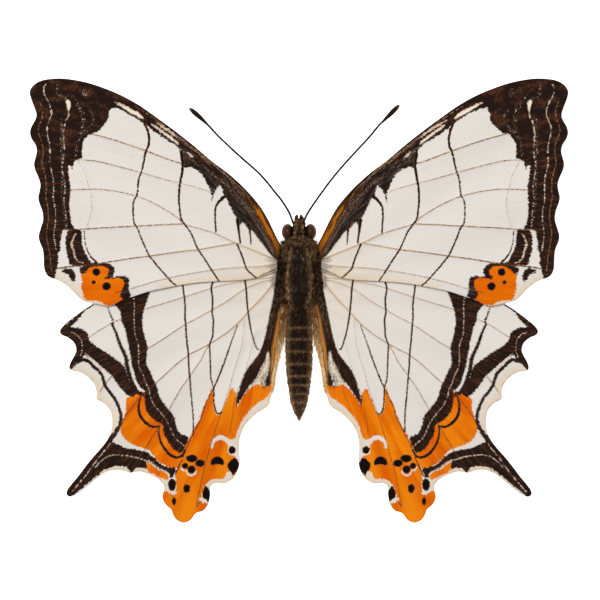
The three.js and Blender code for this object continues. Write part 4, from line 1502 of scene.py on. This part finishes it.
@dataclass
class Abdomen(RoundForm):
    """The abdomen: overlapping rings on an axis that sinks to the tail, dark with tan hair at their edges."""

    profile_px: Points = (
        (304.8, 0), (307, 9.5), (313, 12.4), (325, 13.4), (339, 13.5), (355, 13.3), (371, 12.5), (385, 10.9),
        (395, 9.4), (405, 7.3), (413, 4.2), (419.5, 0),
    )
    ring_px: Sequence[float] = (328.6, 340, 352.3, 364.9, 376.8, 386, 394.8, 403)
    waist_z: float = 2.1
    tip_z: float = 0.5
    flattening: float = 0.93
    overlap: float = 0.05
    furred: tuple[float, float] = (0.1, 0.955)
    """The shares of the length between which hair grows."""
    coat: Coat = Coat(17000, 0.36, lean=0.82, radius=0.02, spread=0.26)

    def surface(self, along: np.ndarray, turn: np.ndarray) -> np.ndarray:
        """Rings of the profile's radius, each a little wider towards its back edge."""
        profile = smooth_path(np.asarray(self.profile_px, float), False, 8)
        first, last = profile[0, 0], profile[-1, 0]
        share = 0.5 - 0.5 * np.cos(np.pi * along)
        px = first + (last - first) * share
        radius = np.interp(px, profile[:, 0], profile[:, 1]) * VIEW.scale
        rings = np.array([300.0, *self.ring_px, 425.0])
        number = np.clip(np.searchsorted(rings, px, side="right") - 1, 0, len(rings) - 2)
        within = (px - rings[number]) / (rings[number + 1] - rings[number])
        radius = np.maximum(radius + self.overlap * (within - 0.55) * np.clip(radius / 0.5, 0, 1), 0)
        axis = self.waist_z + (self.tip_z - self.waist_z) * share
        z = axis + np.sin(turn) * radius * self.flattening
        return np.column_stack([np.cos(turn) * radius, VIEW.along(px), np.maximum(z, 0)])

    def tone(self, points: np.ndarray) -> np.ndarray:
        """Light in a thin line at the back edge of each ring and down the sides."""
        px = VIEW.row(points[:, 1])
        gap = np.min(np.abs(px[:, None] + 0.8 - np.asarray(self.ring_px)), axis=1)
        half = np.interp(px, *np.transpose(self.profile_px)) * VIEW.scale
        side = np.clip((np.abs(points[:, 0]) / np.maximum(half, 0.05) - 0.55) / 0.4, 0, 1)
        tail = np.clip((px - 385) / 25, 0, 1)
        return np.clip(np.exp(-((gap / 1.1) ** 2)) * 0.5 + side * 0.55 + tail * 0.2, 0, 1)

    def build(self, rng: Random, finishes: Finishes) -> None:
        """Makes the skin and its short hair.

        Args:
            rng: The source of chance.
            finishes: The body's finishes.
        """
        fasten(self.skin("abdomen_skin", 150, 72), "body", finishes.skin, "abdomen")
        roots, out = self.roots(rng, self.coat.count, self.furred)
        flow = along_skin(out, np.array([[0.0, -1.0, 0.0]]))
        tone = self.tone(roots) * 0.9 + rng.uniform(-0.15, 0.3, len(roots))
        fasten(self.coat.grow("abdomen_hair", rng, roots, out, flow, tone), "body", finishes.hair)


@dataclass
class Ball(RoundForm):
    """An egg-shaped form, its long axis along the body."""

    centre: tuple[float, float, float]
    half: tuple[float, float, float]

    def surface(self, along: np.ndarray, turn: np.ndarray) -> np.ndarray:
        """A ball stretched along each axis."""
        angle = np.pi * along
        ring = np.maximum(np.sin(angle), 0)
        unit = np.column_stack([np.cos(turn) * ring, np.cos(angle), np.sin(turn) * ring])
        return np.asarray(self.centre) + unit * np.asarray(self.half)


@dataclass
class Eye(Ball):
    """A compound eye, dark where it meets the head."""

    dark_to: float = 0.82
    fade: float = 0.32

    def tone(self, points: np.ndarray) -> np.ndarray:
        """Lighter with the distance from the middle of the head."""
        return np.clip((np.abs(points[:, 0]) - self.dark_to) / self.fade, 0, 1)


@dataclass
class Head:
    """The head: skull, two compound eyes and its coat."""

    y_px: float = 231.5
    z: float = 2.9
    half: tuple[float, float, float] = (0.84, 1.2, 1.15)
    eye_px: tuple[float, float] = (287.5, 231.8)
    eye_z: float = 2.8
    eye_half: tuple[float, float, float] = (0.66, 0.91, 0.95)
    collar_px: float = 242.5
    collar_z: float = 2.55
    collar_half: tuple[float, float, float] = (1.5, 0.6, 1.75)
    coat: Coat = Coat(5200, 0.42, lean=0.55, tuft=14, gather=0.6)
    collar_coat: Coat = Coat(6000, 0.6, lean=0.55)

    def skull(self) -> Ball:
        """The head's own form."""
        return Ball((0, VIEW.along(self.y_px), self.z), self.half)

    def build(self, rng: Random, finishes: Finishes) -> None:
        """Makes the skull, the eyes and the hair.

        Args:
            rng: The source of chance.
            finishes: The body's finishes.
        """
        skull = self.skull()
        fasten(skull.skin("head_skin", 40, 48), "body", finishes.skin, "head")
        x, y = VIEW.place([self.eye_px])[0]
        for side in Side:
            ball = Eye((abs(x) * side.value, y, self.eye_z), self.eye_half)
            name = f"eye_{side.label}"
            fasten(ball.skin(f"{name}_faceted", 40, 48), "eye", finishes.eye, name)
        roots, out = skull.roots(rng, self.coat.count)
        px = VIEW.row(roots[:, 1])
        clear = np.abs(roots[:, 0]) < np.interp(px, [222, 226, 236, 241], [0.9, 0.52, 0.52, 0.9])
        roots, out, px = roots[clear], out[clear], px[clear]
        ahead = np.where(px > 234, -1.0, 0.8)
        flow = unit_rows(np.column_stack([np.zeros(len(px)), ahead, np.full(len(px), 0.5)]))
        tufts = np.exp(-(((np.abs(roots[:, 0]) - 0.42) / 0.16) ** 2))
        tone = rng.uniform(0.0, 0.3, len(roots)) + 0.6 * tufts
        fasten(self.coat.grow("head_hair", rng, roots, out, flow, tone), "body", finishes.hair)
        collar = Ball((0, VIEW.along(self.collar_px), self.collar_z), self.collar_half)
        roots, out = collar.roots(rng, self.collar_coat.count)
        flow = along_skin(out, np.array([[0.0, -1.0, 0.0]]))
        tone = rng.uniform(0.1, 0.65, len(roots))
        fasten(self.collar_coat.grow("collar_hair", rng, roots, out, flow, tone), "body", finishes.hair)


@dataclass(frozen=True)
class Shoulders:
    """The furred flaps over the joints of the forewings."""

    centre_px: tuple[float, float] = (284.4, 251.0)
    z: float = 3.5
    half: tuple[float, float, float] = (0.3, 1.0, 0.5)
    coat: Coat = Coat(2600, 0.6, lean=0.8)

    def build(self, rng: Random, finishes: Finishes) -> None:
        """Makes both flaps and their hair.

        Args:
            rng: The source of chance.
            finishes: The body's finishes.
        """
        x, y = VIEW.place([self.centre_px])[0]
        for side in Side:
            flap = Ball((abs(x) * side.value, y, self.z), self.half)
            name = f"shoulder_{side.label}"
            fasten(flap.skin(f"{name}_skin", 24, 24), "body", finishes.skin)
            roots, out = flap.roots(rng, self.coat.count)
            flow = along_skin(out, np.array([[0.3 * side.value, -1.0, 0.0]]))
            tone = rng.uniform(0.0, 0.6, len(roots))
            fasten(self.coat.grow(f"{name}_hair", rng, roots, out, flow, tone), "body", finishes.hair)


@dataclass
class Tube(RoundForm):
    """A closed tube of changing radius along a smooth route."""

    route: np.ndarray
    radius: Callable[[np.ndarray], np.ndarray]
    end_share: float = 0.004
    """The share of the length over which each end closes."""

    def __post_init__(self) -> None:
        """Works out the route's points, and two directions square to it that don't twist."""
        path = smooth_path(np.asarray(self.route, float), False, 24)
        steps = np.linalg.norm(np.diff(path, axis=0), axis=1)
        self._share = np.concatenate([[0], np.cumsum(steps)]) / steps.sum()
        self._path = path
        ahead = np.gradient(path, axis=0)
        ahead /= np.linalg.norm(ahead, axis=1, keepdims=True)
        square = np.linalg.svd(path - path.mean(0))[2][-1]
        self._side_a = unit_rows(np.cross(ahead, square))
        self._side_b = np.cross(ahead, self._side_a)

    def at(self, rows: np.ndarray, along: np.ndarray) -> np.ndarray:
        """Rows read at shares of the route's length."""
        return np.column_stack([np.interp(along, self._share, rows[:, axis]) for axis in range(3)])

    def surface(self, along: np.ndarray, turn: np.ndarray) -> np.ndarray:
        """A ring about the route, its radius given by the share of the length, none at the two ends."""
        ends = np.sqrt(np.clip(np.minimum(along, 1 - along) / self.end_share, 0, 1))
        radius = (self.radius(along) * ends)[:, None]
        out = self.at(self._side_a, along) * np.cos(turn)[:, None]
        out = out + self.at(self._side_b, along) * np.sin(turn)[:, None]
        points = self.at(self._path, along) + out * radius
        points[:, 2] = np.maximum(points[:, 2], 0)
        return points


@dataclass(frozen=True)
class Antenna:
    """An antenna: a thin ringed shaft that swells into a slender club."""

    side: Side
    route_px: Points
    shaft: float = 0.12
    club: float = 0.3
    club_share: float = 0.16
    root_z: float = 3.5
    tip_z: float = 4.6
    ring: float = 0.3

    def build(self, material: Material) -> None:
        """Makes the antenna.

        Args:
            material: Its finish.
        """
        flat = VIEW.place(self.route_px)
        route = np.column_stack([flat, np.linspace(self.root_z, self.tip_z, len(flat))])
        length = np.linalg.norm(np.diff(route, axis=0), axis=1).sum()

        def radius(share: np.ndarray) -> np.ndarray:
            """The shaft, narrowed a little at each ring, and the swelling of the club."""
            swell = np.clip((share - 1 + self.club_share) / self.club_share, 0, 1)
            body = self.shaft * (1 - 0.3 * swell)
            body = body + (self.club - self.shaft) * np.sin(np.pi * np.minimum(swell, 0.98) ** 1.8) ** 0.6
            return body * (1 + 0.05 * np.cos(2 * np.pi * share * length / self.ring))

        def tones(share: np.ndarray) -> np.ndarray:
            """Pale rings on the shaft and a pale tip."""
            rings = 0.1 * np.clip(np.cos(2 * np.pi * share * length / self.ring), 0, 1) ** 3
            return rings + np.clip((share - 0.975) / 0.02, 0, 1) * 0.6

        name = f"antenna_{self.side.label}"
        fasten(Tube(route, radius).skin(f"{name}_ringed", 360, 14, tones), "horn", material, name)


@dataclass(frozen=True)
class Mouthparts:
    """The palps, furred and pointing forward, and the coiled tongue."""

    head: Head
    palp: Points = ((0.26, 0.9, -0.6), (0.29, 1.3, -0.4), (0.27, 1.56, 0), (0.22, 1.72, 0.35))
    palp_radius: float = 0.18
    ahead: float = 0.85
    z: float = 1.66
    coil: float = 0.46
    inner: float = 0.16
    turns: float = 1.6
    coil_points: int = 40
    coat: Coat = Coat(900, 0.32, lean=0.75, radius=0.018, spread=0.18)

    def build(self, rng: Random, finishes: Finishes) -> None:
        """Makes the palps with their hair, and the tongue.

        Args:
            rng: The source of chance.
            finishes: The body's finishes.
        """
        head_y = VIEW.along(self.head.y_px)
        for side in Side:
            route = np.array(self.palp) * (side.value, 1, 1) + (0, head_y, self.head.z)
            tube = Tube(route, lambda share: self.palp_radius * (1 - 0.75 * share**2))
            name = f"palp_{side.label}"
            fasten(tube.skin(f"{name}_skin", 40, 20), "body", finishes.skin, name)
            roots, out = tube.roots(rng, self.coat.count)
            flow = np.tile([0.0, 0.8, 0.5], (len(roots), 1))
            tone = rng.uniform(0.0, 0.55, len(roots))
            fasten(self.coat.grow(f"{name}_hair", rng, roots, out, flow, tone), "body", finishes.hair)
        share = np.linspace(0, 1, self.coil_points)
        radius = self.coil + (self.inner - self.coil) * share
        angle = np.pi * (0.5 - 2 * self.turns * share)
        along, up = head_y + self.ahead + radius * np.cos(angle), self.z + radius * np.sin(angle)
        route = np.column_stack([np.zeros(self.coil_points), along, up])
        tongue = Tube(route, lambda s: (0.085 - 0.035 * s) * (1 + 0.04 * np.cos(400 * s)))
        fasten(tongue.skin("proboscis_coil", 400, 12), "horn", finishes.horn, "proboscis")


@dataclass(frozen=True)
class Leg:
    """A folded leg: thick thigh, thin shin with spines and a foot of small joints."""

    kind: str
    side: Side
    route: Points
    radii: tuple[float, float, float]
    shift: float = 2.88
    bristles: Coat = Coat(500, 0.16, lean=0.3, radius=0.009, gather=0.0)

    def build(self, rng: Random, finishes: Finishes) -> None:
        """Makes the leg and its bristles.

        Args:
            rng: The source of chance.
            finishes: The body's finishes.
        """
        route = np.array(self.route) * (-self.side.value, 1, 1) + (0, self.shift, 0)
        thigh, shin, foot = self.radii

        def radius(share: np.ndarray) -> np.ndarray:
            """Thigh, shin and foot, with a waist at each joint and small knobs along the foot."""
            shares = [0, 0.15, 0.36, 0.42, 0.5, 0.62, 0.68, 0.98, 1]
            sizes = [0.7 * thigh, thigh, 0.9 * thigh, 0.7 * shin, shin, shin, foot, foot, 0.5 * foot]
            size = np.interp(share, shares, sizes)
            return size * (1 + 0.12 * np.cos(2 * np.pi * share * 16) * (share > 0.68))

        name = f"{self.kind}_{self.side.label}"
        tube = Tube(route, radius)
        fasten(tube.skin(f"{name}_jointed", 160, 14), "horn", finishes.horn, name)
        roots, out = tube.roots(rng, self.bristles.count)
        flow = np.tile([0.0, -0.3, -0.5], (len(roots), 1))
        tone = rng.uniform(0, 0.5, len(roots))
        bristles = self.bristles.grow(f"{name}_bristles", rng, roots, out, flow, tone)
        fasten(bristles, "horn", finishes.hair)


@dataclass(frozen=True)
class HairPatch:
    """Long hair that lies on a wing, inside a closed outline."""

    name: str
    wing: str
    outline: Points
    flow: tuple[float, float, float]
    coat: Coat
    tones: tuple[float, float]
    """Tone at the front and at the back of the patch."""
    pale: bool = False

    def build(self, rng: Random, pairs: dict[str, WingPair], hair: Material) -> None:
        """Makes the patch on both wings.

        Args:
            rng: The source of chance.
            pairs: The wings by name.
            hair: Finish of the hair.
        """
        pair = pairs[self.wing]
        upper = pair.faces()[0]
        inside = np.flatnonzero(Region(self.outline).depth(pair.points) > 0)
        for side in Side:
            chosen = rng.choice(inside, self.coat.count)
            place = pair.points[chosen] + rng.uniform(-0.5, 0.5, (len(chosen), 2)) * pair.cell
            roots = np.column_stack([place, upper[chosen]]) * (-side.value, 1, 1)
            flow = unit_rows(np.tile(np.array(self.flow) * (-side.value, 1, 1), (len(roots), 1)))
            out = np.tile([0.0, 0.0, 1.0], (len(roots), 1))
            y = roots[:, 1]
            share = (y.max() - y) / (y.max() - y.min())
            tone = self.tones[0] + (self.tones[1] - self.tones[0]) * share + rng.uniform(-0.2, 0.2, len(y))
            name = f"{self.name}_{side.label}"
            fasten(self.coat.grow(name, rng, roots, out, flow, tone), "body", hair)


ANTENNA_LEFT = [
    (295.5, 227.5), (292.6, 221.5), (290, 214.3), (286.6, 208), (281.3, 200), (274.1, 191.1), (267, 182.1),
    (258.9, 173.2), (250, 165.2), (239.3, 155.8), (228.6, 146), (217.9, 135.7), (207.1, 124.1), (198, 115.7),
    (189.3, 108),
]
ANTENNA_RIGHT = [
    (301.5, 227.5), (303.8, 221.5), (307.7, 213.1), (315.3, 201.6), (324.9, 188.2), (334.4, 175.8),
    (345.9, 162.4), (357.4, 149.9), (368.9, 137.5), (378.4, 126), (384.2, 120.3), (391.8, 112.6),
    (399.5, 105),
]
LEG_ROUTES = {
    "foreleg": ((-0.5, 3.1, 1.1), (-0.95, 3.8, 0.85), (-0.7, 4.35, 0.6), (-0.45, 4.0, 0.35)),
    "midleg": (
        (-1.0, 1.2, 0.85), (-2.0, 2.2, 1.0), (-2.65, 3.6, 0.85), (-2.55, 2.7, 0.4), (-2.35, 1.5, 0.13),
        (-2.3, 0.4, 0.07),
    ),
    "hindleg": (
        (-1.0, -1.0, 0.85), (-2.2, -1.6, 1.05), (-3.1, -2.1, 0.85), (-2.75, -3.2, 0.4), (-2.4, -4.4, 0.13),
        (-2.2, -5.4, 0.07),
    ),
}
LEG_RADII = {"foreleg": (0.16, 0.12, 0.09), "midleg": (0.22, 0.13, 0.08), "hindleg": (0.22, 0.13, 0.08)}
HAIR_PATCHES = [
    HairPatch(
        "hindwing_fold_hair", "hindwing",
        [(288, 304), (282.6, 305), (280, 318), (276.6, 341), (274.2, 364), (271, 386), (270.4, 396),
         (272.5, 391), (275.2, 378.4), (278.6, 362.3), (281.8, 349), (285, 337), (286.5, 320)],
        (0.1, -1.0, 0.1), Coat(2600, 0.6, lean=0.93, radius=0.016, spread=0.07, gather=0.2), (-0.4, 1.8),
        pale=True,
    ),
    HairPatch(
        "hindwing_root_hair", "hindwing",
        [(288, 270), (277.5, 271), (275.6, 280), (274.4, 296), (271.6, 312), (269.5, 324), (273, 326),
         (277, 316), (281, 304), (290, 303)],
        (-0.2, -1.0, 0.12), Coat(2400, 0.6, lean=0.9, radius=0.02, spread=0.14), (0.0, 0.2),
    ),
    HairPatch(
        "forewing_root_hair", "forewing",
        [(290, 246), (281, 246), (277.5, 256), (277, 268), (284, 270), (290, 268)],
        (0.15, -1.0, 0.25), Coat(2200, 0.5, lean=0.85, radius=0.02, spread=0.22), (0.1, 0.0),
    ),
]


@dataclass(frozen=True)
class Studio:
    """A bright floor, even light, one soft lamp and a camera straight above."""

    camera_height: float = 1.0
    wing_height: float = 0.004
    view_px: float = 600
    sensor: float = 36
    lamp_place: tuple[float, float, float] = (-0.1, 0.16, 0.5)
    lamp_size: float = 0.22
    floor_size: float = 3
    floor_drop: float = 2e-5

    def build(self) -> None:
        """Makes the floor, the lights and the camera."""
        scene = bpy.context.scene
        bpy.ops.mesh.primitive_plane_add(size=self.floor_size, location=(0, 0, -self.floor_drop))
        floor = bpy.context.active_object
        floor.name = "floor"
        finish = NodeFinish("white_floor")
        floor.data.materials.append(finish.surface(
            {"Base Color": (0.9, 0.9, 0.9, 1), "Roughness": 0.9, "Emission Color": (1, 1, 1, 1),
             "Emission Strength": 0.8}
        ))
        world = bpy.data.worlds.new("even_light")
        world.use_nodes = True
        world.node_tree.nodes["Background"].inputs["Strength"].default_value = AMBIENT
        world.node_tree.nodes["Background"].inputs["Color"].default_value = (1, 1, 1, 1)
        scene.world = world
        lamp = bpy.data.lights.new("lamp", "AREA")
        lamp.size = self.lamp_size
        place = np.array(self.lamp_place)
        away = np.linalg.norm(place)
        lamp.energy = float(KEY * np.pi**2 * away**2 / (place[2] / away) ** 2)
        holder = bpy.data.objects.new("lamp", lamp)
        holder.location = self.lamp_place
        holder.rotation_euler = holder.location.to_track_quat("Z", "Y").to_euler()
        scene.collection.objects.link(holder)
        camera = bpy.data.objects.new("camera", bpy.data.cameras.new("camera"))
        middle = VIEW.place([(self.view_px / 2, self.view_px / 2)])[0] * MM
        camera.location = (*middle, self.camera_height)
        seen = self.view_px * VIEW.scale * MM
        camera.data.sensor_width = self.sensor
        camera.data.lens = self.sensor * (self.camera_height - self.wing_height) / seen
        camera.data.clip_start = 0.01
        scene.collection.objects.link(camera)
        scene.camera = camera
        scene.view_settings.view_transform = "Standard"


def main() -> None:
    """Builds the studio, then the specimen from its wings to its legs."""
    logging.basicConfig(level=logging.INFO, format="%(name)s: %(message)s")
    rng = np.random.default_rng(7)
    Studio().build()
    finishes = Finishes(
        horn=Cuticle("horn").material(),
        skin=Cuticle("skin", roughness=0.55).material(),
        hair=Hair().material(),
        sheen=Hair("sheen", srgb(30, 24, 22), srgb(150, 148, 150)).material(),
        pale=Hair("pale_hair", srgb(124, 80, 42), srgb(255, 206, 138), 0.6).material(),
        eye=FacetedEye().material(),
    )
    pairs = {
        "forewing": WingPair(
            "forewing", FOREWING_OUTLINE, FOREWING_MARKS, WingSurface(), (281, 262), costa_rise=0.16,
            bend=13.4, grain_width=7.5,
        ),
        "hindwing": WingPair(
            "hindwing", HINDWING_OUTLINE, HINDWING_MARKS, WingSurface(drop=0.44, sag=0.002), (279, 282)
        ),
    }
    wing_scales = {
        "forewing": ScaledWing("forewing_scales", warm_from=19.0, orange=srgb(232, 116, 10)),
        "hindwing": ScaledWing(
            "hindwing_scales", amber_streaks=0.8, amber_near=8.0, amber_far=1.0, amber=srgb(216, 142, 60),
            amber_rim=srgb(112, 72, 38),
        ),
    }
    for name, pair in pairs.items():
        scales = wing_scales[name].material()
        for side in Side:
            pair.build(side, scales)
    head = Head()
    for part in (Thorax(), Shoulders(), Abdomen(), head, Mouthparts(head)):
        part.build(rng, finishes)
    Antenna(Side.LEFT, ANTENNA_LEFT).build(finishes.horn)
    Antenna(Side.RIGHT, ANTENNA_RIGHT).build(finishes.horn)
    for kind, route in LEG_ROUTES.items():
        for side in Side:
            Leg(kind, side, route, LEG_RADII[kind]).build(rng, finishes)
    for patch in HAIR_PATCHES:
        patch.build(rng, pairs, finishes.pale if patch.pale else finishes.hair)


if __name__ == "__main__":
    main()
